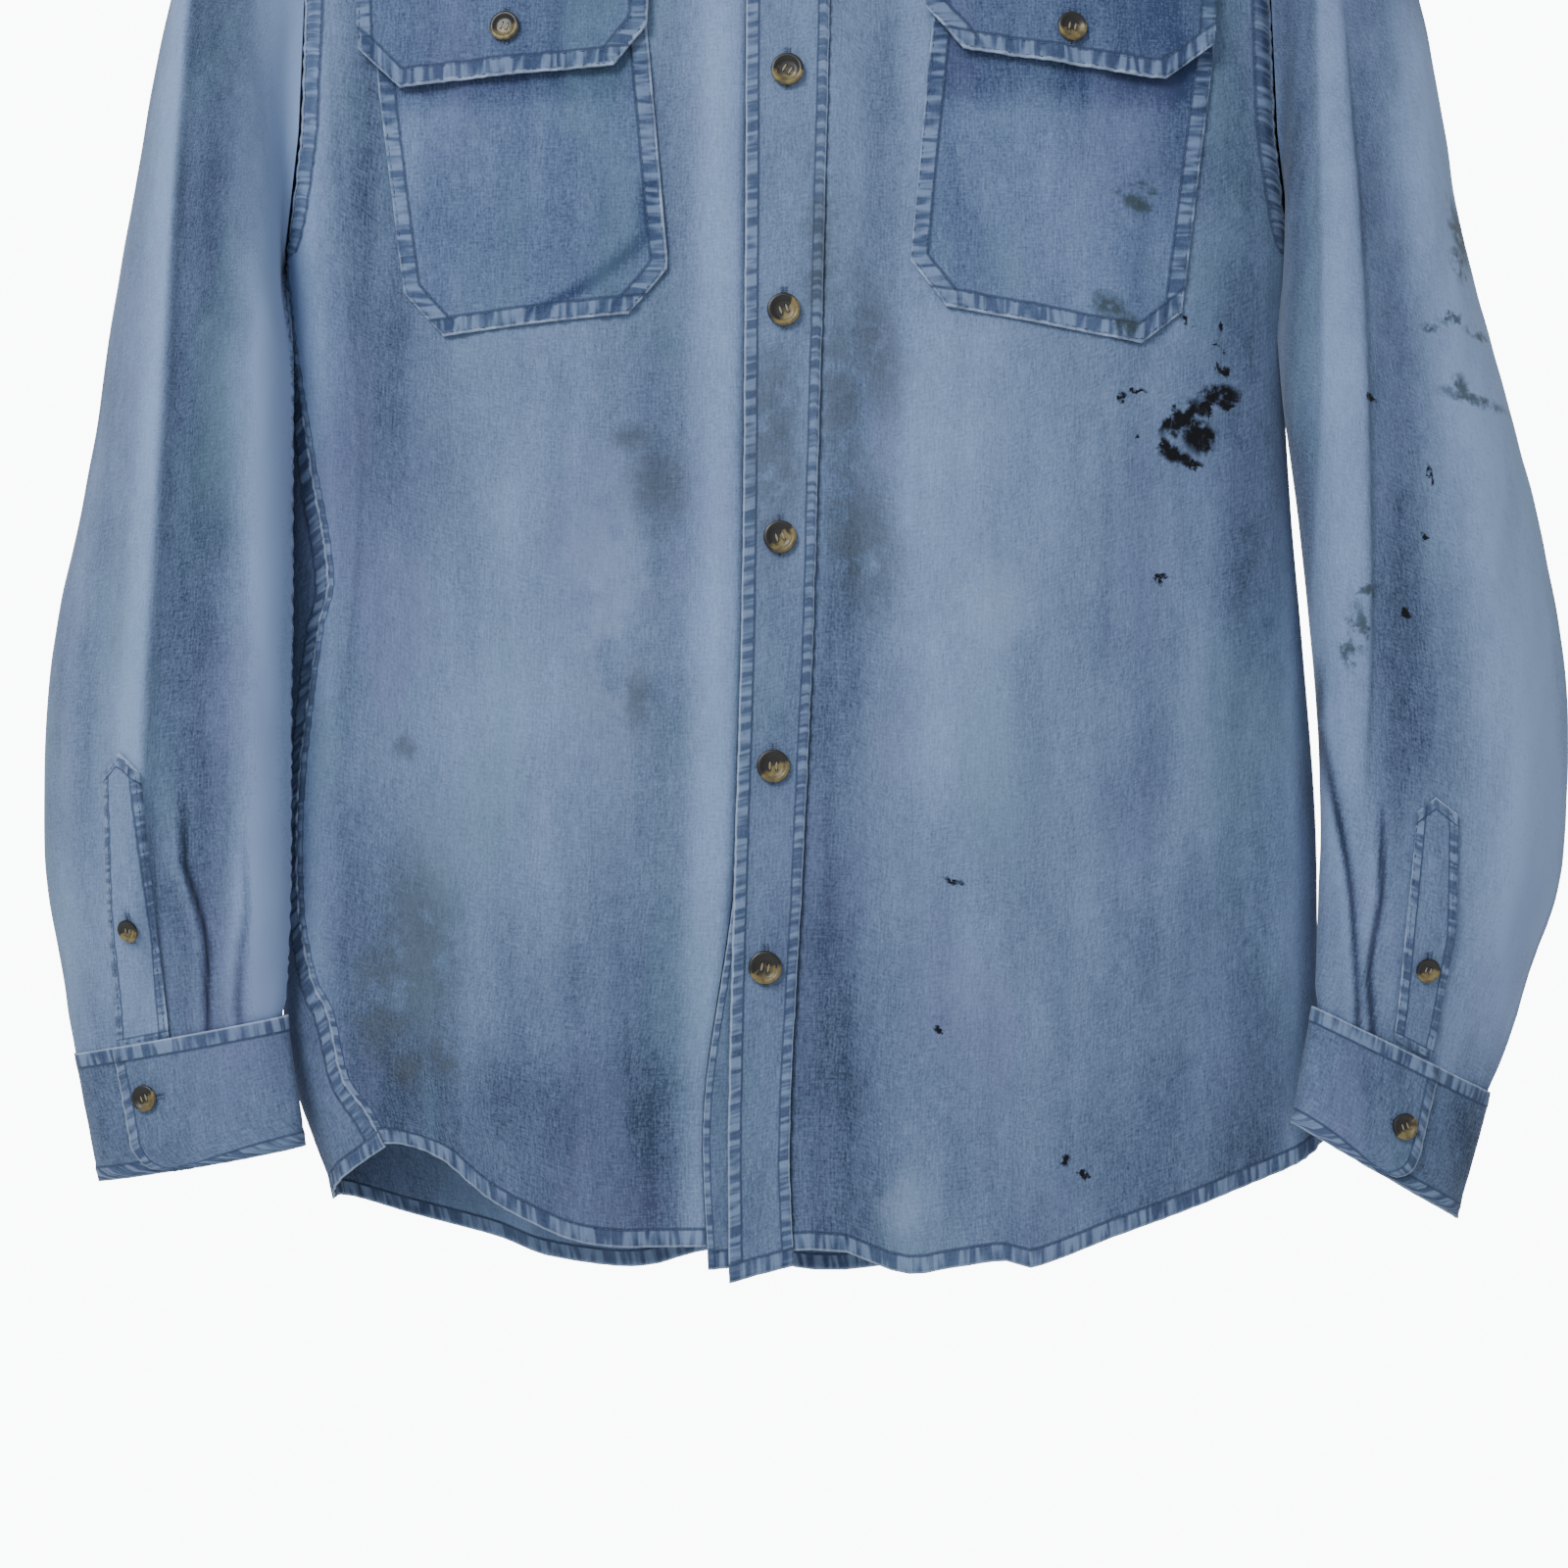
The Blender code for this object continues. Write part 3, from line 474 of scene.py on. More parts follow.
def blended(tree, factor, first, second, mode="MIX"):
    """Two colours mixed by a factor."""
    node = add(tree, "ShaderNodeMix", data_type="RGBA", blend_type=mode, clamp_factor=True)
    for key, value in ((0, factor), (6, first), (7, second)):
        if isinstance(value, bpy.types.NodeSocket):
            tree.links.new(value, node.inputs[key])
        else:
            node.inputs[key].default_value = value
    return node.outputs[2]


# %% Stains
# Each mark is (across, up, half width, half height, turn in degrees), in millimetres from the hook.
INK = [(181, -504, 13, 5, 35), (199, -492, 9, 5, 10), (190, -512, 8, 8, 0), (178, -521, 8, 4, -20),
       (201, -480, 3, 2.5, 0), (193, -500, 6, 3, 60), (203, -497, 4, 2, 0), (153, -495, 3, 2.2, 0),
       (160, -492, 3, 1.6, 20), (186, -525, 4, 2, 10), (172, -517, 3, 4, 0), (160, -513, 1.5, 1, 0),
       (184, -459, 1.6, 2, 0), (201, -461, 1.2, 2, 0), (199, -470, 1.3, 1, 0), (171, -578, 3.4, 2, 15),
       (75, -716, 3, 1.6, 10), (69, -784, 1.2, 1.8, 0), (124, -841, 2.4, 3, 0), (133, -848, 1.8, 2, 0),
       (262, -499, 2, 2, 0),
       (286, -561, 1.4, 1.4, 0), (289, -533, 1.4, 4, 0), (277, -595, 2.4, 2.4, 20)]
SMEARS = [(147, -453, 8, 5, -20), (155, -462, 6, 5, 30), (160, -405, 7, 4, -20), (163, -398, 5, 2, 0),
          (152, -399, 3, 2, 0), (311, -418, 5, 15, 14), (308, -432, 4, 8, 0), (302, -460, 6, 2, 10),
          (316, -465, 6, 2, -5), (292, -466, 4, 2, 0), (313, -497, 17, 2.4, -10), (306, -492, 3, 6, 10),
          (256, -602, 3, 10, 6), (252, -612, 2, 7, 0), (260, -585, 6, 2, 15)]
GRIME = [(-60, -536, 13, 16, 0), (-72, -515, 8, 6, 30), (-69, -634, 5, 14, 0), (-171, -732, 9, 16, -15),
         (-180, -754, 7, 9, 0), (-181, -782, 7, 6, 0), (-174, -802, 7, 9, 10), (-158, -796, 8, 10, 0),
         (-168, -745, 16, 40, 0), (-188, -770, 10, 26, 0), (23, -500, 8, 50, 3), (34, -560, 14, 30, 8),
         (14, -420, 7, 40, 0), (-6, -520, 10, 50, 0), (-176, -655, 5, 5, 0), (40, -470, 9, 30, 12)]
BLEACH = [(51, -861, 10, 14, -15), (96, -590, 16, 18, 0), (-80, -600, 18, 60, 0)]


def marks(tree, point, places, soft):
    """How strongly a point lies in any of the marks, 0 to 1."""
    total = 0.0
    for x, z, wide, high, turn in places:
        local = add(tree, "ShaderNodeMapping", {"Vector": point, "Location": (x * MM, 0, z * MM),
                    "Rotation": (0, -math.radians(turn), 0), "Scale": (wide * MM, 100, high * MM)},
                    vector_type="TEXTURE").outputs[0]
        away = add(tree, "ShaderNodeVectorMath", {0: local}, operation="LENGTH").outputs["Value"]
        mark = between(tree, away, 1 + soft, 1 - soft)
        total = mark if total == 0.0 else maths(tree, "MAXIMUM", total, mark)
    return total


# %% The denim itself
def denim(name, pale="829AC1", deep="2B3850", depth=0.0, stained=()):
    """Washed denim. It reads the UV map, the seam distances and the fading and painted light and shade set on the
    mesh.
    """
    finish, tree, shader = new_material(name)
    threads = add(tree, "ShaderNodeUVMap", uv_map="threads").outputs[0]
    place = add(tree, "ShaderNodeTexCoord").outputs["Object"]
    side, cross, fade = [add(tree, "ShaderNodeAttribute", attribute_name=name).outputs["Fac"]
                         for name in ("side", "cross", "fade")]

    clouds = noise(tree, scaled(tree, place, (11, 11, 4.5)), 1, 4, 0.6, 0.3)
    mottle = noise(tree, scaled(tree, place, (36, 36, 20)), 1, 3, 0.6)
    streaks = noise(tree, scaled(tree, place, (75, 75, 5)), 1, 4, 0.65)
    slubs = noise(tree, scaled(tree, threads, (1150, 130, 1)), 1, 2, 0.6)       # a thread each 0.9 mm
    picks = noise(tree, scaled(tree, threads, (140, 1250, 1)), 1, 2, 0.6)
    grains = noise(tree, scaled(tree, threads, (900, 700, 1)), 1, 1, 0.5)
    # The fade value set on the mesh holds wash fading together with painted light and shade of the folds.
    level = maths(tree, "MULTIPLY_ADD", fade, 0.5, 0.5 - depth)
    for part, strength in ((clouds, 0.6), (mottle, 0.35), (streaks, 0.38), (slubs, 0.6), (picks, 0.35),
                           (grains, 0.5)):
        level = maths(tree, "MULTIPLY_ADD", maths(tree, "SUBTRACT", part, 0.5), strength, level)
    colour = blended(tree, level, linear(deep), linear(pale))
    tint = noise(tree, scaled(tree, place, (17, 17, 6)), 1, 3, 0.5)
    colour = blended(tree, between(tree, tint, 0.52, 0.72, 0, 0.30), colour, linear("6A6F9A"))
    colour = blended(tree, between(tree, tint, 0.48, 0.30, 0, 0.26), colour, linear("648696"))

    beat_up = noise(tree, scaled(tree, threads, (36, 250, 1)), 1, 1.5, 0.6, 0.3)
    beat_along = noise(tree, scaled(tree, threads, (250, 36, 1)), 1, 1.5, 0.6, 0.3)
    seam_height = 0.5
    for away, beat in ((side, beat_up), (cross, beat_along)):
        inside = between(tree, away, 1.05, 0.9)
        dash = between(tree, beat, 0.40, 0.62)
        roped = blended(tree, dash, linear("2C3C5C"), linear("768BAC"))
        colour = blended(tree, maths(tree, "MULTIPLY", inside, 0.62), colour, roped)
        # Painted shade: a dark line along each seam band's sunk stitch row.
        groove_shade = maths(tree, "MULTIPLY", between(tree, away, 0.86, 0.97), between(tree, away, 1.16, 1.03))
        colour = blended(tree, maths(tree, "MULTIPLY", groove_shade, 0.7), colour, linear("26344F"))
        rim = between(tree, away, 0.17, 0.05)
        colour = blended(tree, maths(tree, "MULTIPLY", rim, 0.45), colour, linear("B2C6E2"))
        seam_height = maths(tree, "ADD", seam_height, maths(tree, "MULTIPLY", inside, dash))

    # Painted shade: where the fade value sinks below -0.95, in hollows and under the arms, the colour is darkened
    # further.
    hollow_shade = blended(tree, 1.0, colour, linear("3F4A5E"), "MULTIPLY")
    colour = blended(tree, between(tree, fade, -0.95, -1.7), colour, hollow_shade)

    if stained:
        rough_edge = noise(tree, scaled(tree, place, (150, 150, 150)), 1, 4, 0.7)
        shift = maths(tree, "SUBTRACT", rough_edge, 0.5)
        cut = add(tree, "ShaderNodeCombineXYZ", {"X": maths(tree, "MULTIPLY", shift, 0.016),
                  "Z": maths(tree, "MULTIPLY", shift, -0.013)}).outputs[0]
        point = add(tree, "ShaderNodeVectorMath", {0: place, 1: cut}, operation="ADD").outputs[0]
        for places, soft, shade, strength, breakup in stained:
            amount = marks(tree, point, places, soft)
            broken = between(tree, noise(tree, place, breakup, 3, 0.6), 0.32, 0.50)
            amount = maths(tree, "MULTIPLY", maths(tree, "MULTIPLY", amount, broken), strength)
            colour = blended(tree, amount, colour, linear(shade))

    tree.links.new(colour, shader.inputs["Base Color"])
    roughness = between(tree, slubs, 0.3, 0.7, 0.82, 0.95)
    tree.links.new(roughness, shader.inputs["Roughness"])
    shader.inputs["IOR"].default_value = 1.5
    shader.inputs["Specular IOR Level"].default_value = 0.18
    shader.inputs["Sheen Weight"].default_value = 0.12
    shader.inputs["Sheen Roughness"].default_value = 0.5
    weave = maths(tree, "ADD", maths(tree, "MULTIPLY", slubs, 0.6), maths(tree, "MULTIPLY", picks, 0.5))
    fine = add(tree, "ShaderNodeBump", {"Strength": 0.35, "Distance": 0.0004, "Height": weave}).outputs[0]
    coarse = add(tree, "ShaderNodeBump", {"Strength": 0.6, "Distance": 0.0007, "Height": seam_height,
                 "Normal": fine}).outputs[0]
    tree.links.new(coarse, shader.inputs["Normal"])
    return finish


ink = (INK, 0.35, "080B12", 1.0, 120)
smear = (SMEARS, 0.6, "2C3A3A", 0.8, 120)
grime = (GRIME, 0.75, "3F4648", 0.5, 60)
bleach = (BLEACH, 0.8, "9DB4D4", 0.2, 40)
body_denim = denim("washed_denim", stained=(bleach, grime, smear, ink))
plain_denim = denim("washed_denim_plain")
sleeve_denim = denim("washed_denim_sleeve", stained=(smear, ink))
band_denim = denim("washed_denim_band", depth=0.04, stained=(grime,))
pocket_denim = denim("washed_denim_pocket", deep="2B3A5C", depth=0.08, stained=(smear, ink))
print("denim materials made:", [m.name for m in bpy.data.materials if m.name.startswith("washed")])

# %% [markdown]
# ## Fronts and back
# Each front is one panel from side seam and armhole to the centre. Its grid follows the body's
# surface, so its edges are exact seam lines. A felled side seam shows its flat band on the back
# panel, an armhole shows it on the body, and the shirt-tail hem is turned up twice.

# %% Panels of the body
SEAM = 8.0             # width of a felled seam or a hem
ARMHOLE_SEAM = 10.0
TURNED_EDGE = 3.0      # the narrow roll at an edge with no seam band
TUCK = 3.0             # how far the right front runs in under the placket
BAND_INSET = 4.0       # how far the button band stops short of the placket's right edge
BAND_GAP = 0.6         # between the left front and the button band
LOW_SHARE = 0.74       # share of a panel's rows that lies below the underarm
FRONT_WAVE = 0.55      # height of the fronts' faint wrinkles
NEAR_HEM = -850        # heights at which a panel's columns are placed
NEAR_TOP = -190


def height_at(up, hem, top):
    """Heights of a panel's rows: evenly to the underarm, then evenly to the top."""
    below = hem + (UNDERARM - hem) * up / LOW_SHARE
    above = UNDERARM + (top - UNDERARM) * (up - LOW_SHARE) / (1 - LOW_SHARE)
    return np.where(up <= LOW_SHARE, below, above)


left_lit = smooth_line((-800, -228), (-300, -230))
right_pale = smooth_line((-900, 70), (-300, 68))
right_lit = smooth_line((-900, 232), (-300, 234))


def painted_light_and_wear(x, z):
    """Fading of the fronts with painted light and shade: paler faces turned to the light and paler ridges,
    painted shade in troughs, beside the armpit fold and at the right edge. Above 0 is paler, below 0 darker.
    """
    lines = (fold(x, z, beside_placket, 12, 0.75, -100) + fold(x, z, left_trough, 16, -0.35, -300)
             + fold(x, z, left_ridge, 50, 0.35, -300, -820)
             + fold(x, z, armpit_shade, 24, -0.72, -330, -620, 110) + fold(x, z, left_lit, 14, 1.15, -260)
             + fold(x, z, right_trough, 13, -0.45, -330) + fold(x, z, right_pale, 26, 0.42, -300, -700)
             + fold(x, z, right_ridge, 40, 0.12, -480) + fold(x, z, right_rim, 14, -0.45, -250)
             + fold(x, z, right_second, 20, -0.2, -470) + fold(x, z, right_lit, 5, 0.5, -200))
    towards_hem = (0.3 * step(-z, 640, 860) + 0.25 * step(-z, 600, 800) * step(-x, 60, 150)
                   + 0.2 * step(-z, 560, 760) * step(-x, 30, 110))
    return lines - towards_hem


def band_left(z):
    """The button band's left edge, which peeks out beside the placket lower down."""
    return placket_left(z) - band_peek(z)


def band_right(z):
    return placket_right(z) - BAND_INSET


def front_x(z, side):
    """Where a front meets its centre band."""
    return band_left(z) - BAND_GAP if side < 0 else placket_right(z) - TUCK


def beside_band(x, z):
    """How far the right front stands out as it nears the placket, and dips to tuck under it."""
    away = x - placket_right(z)
    return PLACKET_LIFT * np.exp(-np.clip(away, 0, None) / 22) - 1.9 * step(-away, -3.5, 0.5)


def front_surface(x, z, lift=0.0):
    """Points of the fronts' cloth at (x, z), moved out by lift. Bands and pockets lie on it."""
    def at(x, z):
        point = body(angle_at(x, z), z)
        beside = np.where(x > placket_right(z), beside_band(x, z), 0)
        point[..., 1] -= beside + FRONT_WAVE * wrinkle(x, z, 5)
        return point

    e = 1.0
    across = at(x + e, z) - at(x - e, z)
    up = at(x, z + e) - at(x, z - e)
    normal = np.cross(across, up)
    normal = normal / np.linalg.norm(normal, axis=-1, keepdims=True)
    return at(x, z) + normal * np.asarray(lift)[..., None]


def front_panel(side):
    """A front's dressed sheet, from its side seam to the centre."""
    hem_line = front_left_hem if side < 0 else front_right_hem
    columns = steps_for(220)
    rows = steps_for(720)

    def place(across, up):
        def angle(z):
            edge = side_angle(z, side)
            return edge + (angle_at(front_x(z, side), z) - edge) * across

        low = NEAR_HEM + 0 * across
        high = NEAR_TOP + 0 * across
        hem = hem_line(body(angle(low), low, False)[..., 0])
        top = front_top(body(angle(high), high, False)[..., 0])
        z = height_at(up, hem, top)
        point = body(angle(z), z)
        if side > 0:
            point[..., 1] -= beside_band(point[..., 0], z)
        return point

    points = grid(columns, rows, place)
    x, z = points[..., 0], points[..., 2]
    facing = np.clip(-normals(points)[..., 1] * (1 if side < 0 else -1), 0, 1)
    points = points - np.stack([0 * x, FRONT_WAVE * wrinkle(x, z, 5) * facing, 0 * x], -1)
    at_armhole = points[:, :1, 2] > UNDERARM
    seam = np.where(at_armhole, ARMHOLE_SEAM, TURNED_EDGE if side < 0 else SEAM)
    from_edge = np.arange(points.shape[1])[None, :] * FINE
    shaded = np.where(at_armhole, -0.7 if side < 0 else -1.1, 0) * (1 - step(from_edge, 9, 16))
    return dress(points, left=seam, bottom=SEAM, seed=2 + side, fade=painted_light_and_wear(x, z) + shaded, warp=1.0)


def back_panel():
    """The back's dressed sheet, from side seam to side seam."""
    columns = steps_for(480)
    rows = steps_for(700)

    def place(across, up):
        def angle(z):
            first = np.where(z > UNDERARM, side_angle(z, -1, True), side_angle(z, -1))
            return first + (side_angle(z, 1, True) - first) * across

        probe = body(angle(-866 + 0 * across), -866 + 0 * across, False)
        hem = back_hem(probe[..., 0])
        near_left = np.clip(1 - across * 20 / 3, 0, 1)
        near_right = np.clip(1 - (1 - across) * 20 / 2, 0, 1)
        hem = hem + (-838 - hem) * np.maximum(near_left, near_right)
        z = height_at(up, hem, YOKE_BACK)
        return body(angle(z), z)

    points = grid(columns, rows, place)
    seam = np.where(points[:, :1, 2] > UNDERARM, ARMHOLE_SEAM, SEAM)
    x, z = points[..., 0], points[..., 2]
    # Painted shade: the parts of the back seen from the front are darkened, and behind, the folds are painted
    # paler on their ridges and darker in their troughs, over a faint random tone.
    behind = points[..., 1] > 0
    fade = np.where(behind, 0.25 * wrinkle(x, z, 11), -0.35)
    for line, width, height in back_lines:
        fade = fade + np.where(behind, fold(x, z, line, width, height / 14, -300), 0)
    return dress(points, left=seam, right=seam, bottom=SEAM, seed=4, outward=(0, 1, 0),
                 wave=0.5 * wrinkle(x, z, 8), fade=fade, warp=0.5)


for node, panel, finish, flat in (("front_left", front_panel(-1), body_denim, (0.252, 0.773)),
                                  ("front_right", front_panel(1), body_denim, (0.300, 0.777)),
                                  ("back", back_panel(), plain_denim, (0.566, 0.778))):
    finish_piece(node, panel, finish)

# %% [markdown]
# ## Layers that lie on a panel
# Pockets, flaps, the centre bands and the sleeve plackets are cut separately and sewn on. Each
# starts from the very points of the panel below it, moved out by a layer, so it follows every
# fold and never cuts through. A convex outline then trims it, and the distance to that outline
# says where its folded edge, its stitch line and its puckers are.

# %% Layers
LAYER = 1.8            # from one layer's middle to the next one's


def outline_distances(x, z, outline, width):
    """Distance in from the outline's steep edges and from its level edges, in seam widths."""
    side = np.full(x.shape, FAR)
    cross = np.full(x.shape, FAR)
    for start, end, inwards in outline_edges(outline):
        away = np.clip(inwards[0] * (x - start[0]) + inwards[1] * (z - start[1]), 0, None) / width
        if abs(end[1] - start[1]) > abs(end[0] - start[0]):
            side = np.minimum(side, away)
        else:
            cross = np.minimum(cross, away)
    return side, cross


def layer(points, normal, outline, lift, width=SEAM, ripple=0.5, seed=1, fade=0.0, swell=0.0, curl=None):
    """A dressed sheet that lies on the given points, with its seams along the outline.
    Curl is a height and how far the sheet stands off below it."""
    u = run_lengths(points, 1)
    v = run_lengths(points, 0)
    x, z = points[..., 0], points[..., 2]
    side, cross = outline_distances(x, z, outline, width)
    near_side = np.exp(-(np.clip(side - 0.5, 0, None) / 0.6) ** 2)
    near_cross = np.exp(-(np.clip(cross - 0.5, 0, None) / 0.6) ** 2)
    up = (lift + ripple * near_side * uneven_wave(z, 6.5, seed)
          + ripple * near_cross * uneven_wave(x, 6.5, seed + 3) + 0.25 * ((side < 1) | (cross < 1))
          + swell * step(np.minimum(side, cross), 0.8, 5) + 0.35 * wrinkle(x * 1.7, z * 1.7, seed))
    if curl:
        up = up + curl[1] * step(curl[0] - z, 0, 45)
    return {"points": points + normal * up[..., None], "normal": normal, "u": u, "v": v, "side": side,
            "cross": cross, "fade": fade + 0 * u, "flip": 1}


def front_layer(outline, lift, **how):
    """A layer over part of a front, as wide and high as its outline."""
    left, low = np.min(outline, axis=0)
    right, high = np.max(outline, axis=0)

    def place(across, up):
        return front_surface(left + (right - left) * across, low + (high - low) * up)

    points = grid(steps_for(right - left), steps_for(high - low), place)
    return layer(points, normals(points), outline, lift, **how)


POCKETS = {
    -1: [(-195, -296), (-190, -350), (-177, -446), (-158, -467), (-73, -457), (-55, -435), (-64, -335),
         (-68, -296)],
    1: [(69, -292), (65, -335), (55, -431), (72, -454), (162, -470), (181, -455), (197, -336), (200, -292)],
}
FLAPS = {
    -1: [(-201, -279), (-200, -331), (-179, -351), (-80, -343), (-64, -323), (-65, -276)],
    1: [(64, -276), (63, -315), (80, -335), (173, -348), (197, -330), (201, -279)],
}
GAUNTLETS = {
    -1: [(-299, -658), (-308, -667), (-307, -793), (-282, -788), (-289, -667)],
    1: [(290, -678), (280, -686), (277, -741), (273, -787), (292, -797), (300, -741), (300, -686)],
}
FLAP_CURL = (-300, 2.6)      # below this height a flap's lip stands off this far
# How dark the painted shade along each pocket's crease is
CREASE_SHADE = {-1: 0.7, 1: 0}
SIDES = ((-1, "left"), (1, "right"))


def belly_fade(sheet, side):
    """The pale middle of a pocket and its flap, where they rub."""
    middle = smooth_line((-480, side * 120), (-280, side * 120))
    return 0.25 * fold(sheet["points"][..., 0], sheet["points"][..., 2], middle, 46, 1, -250)


for side, word in SIDES:
    pocket = front_layer(POCKETS[side], LAYER, ripple=0.55, seed=20 + side, swell=1.0)
    x, z = pocket["points"][..., 0], pocket["points"][..., 2]
    # Painted shade: a dark line along the pocket's crease and a dark band under the flap, where the flap's shadow
    # falls.
    crease_shade = fold(x, z, pocket_crease, 5, CREASE_SHADE[side], -400, -480, 10)
    flap_shadow = 0.55 * step(z, -368, -348)
    pocket["fade"] = pocket["fade"] + belly_fade(pocket, side) - 0.22 - flap_shadow - crease_shade
    flap = front_layer(FLAPS[side], 2 * LAYER + 0.9, ripple=0.6, seed=30 + side, swell=0.8, curl=FLAP_CURL)
    flap["fade"] = flap["fade"] + belly_fade(flap, side) - 0.55
    for kind, sheet, outline in (("pocket", pocket, POCKETS[side]), ("flap", flap, FLAPS[side])):
        finish_piece("%s_%s" % (kind, word), sheet, pocket_denim, 1.0,
                     outline)

# %% The two centre bands
neck_height = float(front_top(np.array(0.0))) - 1


def centre_band(low_x, high_x, bottom_left, bottom_right, lift, **how):
    """A band down the middle between two lines low_x(z) and high_x(z)."""
    def place(across, up):
        bottom = bottom_left + (bottom_right - bottom_left) * across
        z = bottom + (neck_height - bottom) * up
        return front_surface(low_x(z) + (high_x(z) - low_x(z)) * across, z, lift + 0 * z)

    return dress(grid(steps_for(38), steps_for(730), place), seed=9, **how)


placket = centre_band(placket_left, placket_right, -897, -889, PLACKET_LIFT, left=6.0, right=5.0, bottom=SEAM)
placket["fade"] = placket["fade"] + 0.1 - 0.12 * step(-placket["points"][..., 2], 380, 480)
button_band = centre_band(band_left, band_right, -891, -889, 0.0, left=TURNED_EDGE, bottom=SEAM)
finish_piece("placket", placket, band_denim, 1.2)
finish_piece("button_band", button_band, band_denim, 0.9)

# %% [markdown]
# ## Yoke and sleeves
# The yoke wraps over the shoulders from a level seam at the back to a seam in front. A sleeve is
# set into the armhole formed by the front, the yoke's end and the back, then hangs as a flat
# tube. Its grid runs from that same armhole loop into the tube, so the seam closes exactly.

# %% The yoke
def over_shoulder(x, turn):
    """Points near the shoulder line: turn 1 is a quarter round to the front, -1 to the back."""
    turned = np.abs(turn)
    down = np.where(turned <= 1, CLOSING * (1 - np.cos(turned * np.pi / 2)),
                    CLOSING * (1 + (turned - 1) * np.pi / 2))
    z = shoulder(x) - down
    front = body(angle_at(x, z), z)
    behind = body(angle_at(x, z, True), z)
    return np.where((turn < 0)[..., None], behind, front)


def turn_at(x, z):
    """How far round the shoulder the height z lies."""
    down = shoulder(x) - z
    return np.where(down <= CLOSING, np.arccos(np.clip(1 - down / CLOSING, -1, 1)) * 2 / np.pi,
                    1 + (down / CLOSING - 1) * 2 / np.pi)


YOKE_END = 213         # where the yoke's back seam meets the armhole
front_turn = float(turn_at(np.array(150.0), shoulder(np.array(150.0)) - YOKE_FRONT))


def yoke_armhole_x(rise):
    """How far out the yoke's end lies, from its back seam up to the shoulder."""
    return YOKE_END + (SHOULDER_HALF - YOKE_END) * np.clip(rise * 2, 0, 1)


def yoke_tops():
    """Where the yoke's upper edge runs: along the front seam, round the neck and back again."""
    tops = [(SHOULDER_HALF, front_turn), (147, front_turn), (NECK_HALF, front_turn),
            (NECK_HALF, front_turn / 2), (NECK_HALF, 0)]
    for x in np.array([66.0, 55, 42, 28, 14, 0]):
        tops.append((x, -float(turn_at(x, back_neck(x)))))
    return tops


def yoke_place(across, up):
    """Points of the yoke: across from one armhole to the other, up from its back seam."""
    tops = yoke_tops()
    keys = np.array([0, 0.28, 0.55, 0.62, 0.68, 0.72, 0.78, 0.84, 0.9, 0.95, 1])
    side = np.where(across < 0.5, -1, 1)
    inward = 1 - np.abs(across * 2 - 1)
    top_x = np.interp(inward, keys, [top[0] for top in tops])
    top_turn = np.interp(inward, keys, [top[1] for top in tops])
    x = YOKE_END * (1 - inward)
    start = -turn_at(x, YOKE_BACK + 0 * x)
    at_end = np.clip(1 - inward / 0.06, 0, 1)
    straight = x + (top_x - x) * up
    place_x = straight + (yoke_armhole_x(up) - straight) * at_end
    return over_shoulder(side * place_x, start + (top_turn - start) * up)


yoke = grid(steps_for(500), steps_for(190), yoke_place)
yoke = dress(yoke, left=ARMHOLE_SEAM, right=ARMHOLE_SEAM, bottom=SEAM, top=SEAM, seed=12, outward=(0, 0, 1),
             wave=0.3 * wrinkle(yoke[..., 0], yoke[..., 1] * 3, 8))
finish_piece("yoke", yoke, plain_denim)

# %% The armhole loop and the hanging tube
def armhole(side, around):
    """Points of the armhole; around runs 0 to 1: up the front, over the shoulder, down the back."""
    front_share, yoke_share = 0.35, 0.65
    top = front_top(np.array(float(side * SHOULDER_HALF)))
    z = UNDERARM + (top - UNDERARM) * np.clip(around / front_share, 0, 1)
    up_front = body(side_angle(z, side), z)
    rise = 1 - np.clip((around - front_share) / (yoke_share - front_share), 0, 1)
    back_turn = -turn_at(np.array(float(YOKE_END)), np.array(float(YOKE_BACK)))
    over = over_shoulder(side * yoke_armhole_x(rise), back_turn + (front_turn - back_turn) * rise)
    z = UNDERARM + (YOKE_BACK - UNDERARM) * np.clip((1 - around) / (1 - yoke_share), 0, 1)
    down_back = body(side_angle(z, side, True), z)
    inner = np.where((around <= front_share)[..., None], up_front, over)
    return np.where((around > yoke_share)[..., None], down_back, inner)


SLEEVES = {
    -1: {"outer": smooth_line((0, -223, 0, -160), (0.11, -259, -8, -225), (0.24, -288, -16, -305),
                              (0.43, -311, -22, -425), (0.61, -330, -25, -540), (0.73, -345, -27, -620),
                              (0.86, -347, -30, -705), (0.95, -338, -35, -764), (1, -332, -40, -795)),
         "inner": smooth_line((0, -239, -20, -425), (0.05, -240, -25, -441), (0.11, -237, -39, -462),
                              (0.17, -232.5, -49, -482), (0.24, -229.5, -56, -505),
                              (0.43, -228, -60, -576), (0.61, -228, -61, -639), (0.73, -228, -61, -681),
                              (0.86, -228.5, -59, -728), (1, -231, -56, -777))},
    1: {"outer": smooth_line((0, 223, 0, -160), (0.11, 262, -8, -225), (0.24, 294, -16, -305),
                             (0.41, 318, -21, -425), (0.58, 349, -24, -540), (0.71, 364, -27, -630),
                             (0.82, 361, -31, -709), (0.92, 343, -37, -766), (0.965, 332, -41, -796),
                             (1, 324, -44, -813)),
        "inner": smooth_line((0, 239, -20, -425), (0.05, 234, -26, -441), (0.11, 229.5, -40, -462),
                             (0.24, 229, -54, -505), (0.41, 236.5, -57, -568), (0.58, 243, -58, -640),
                             (0.71, 244.5, -59, -690), (0.82, 243, -60, -722), (0.92, 242, -60, -750),
                             (1, 241, -60, -773))},
}
sleeve_half_depth = smooth_line((0, 24), (0.11, 34), (0.24, 40), (0.43, 42), (0.73, 40), (0.88, 32), (1, 17))

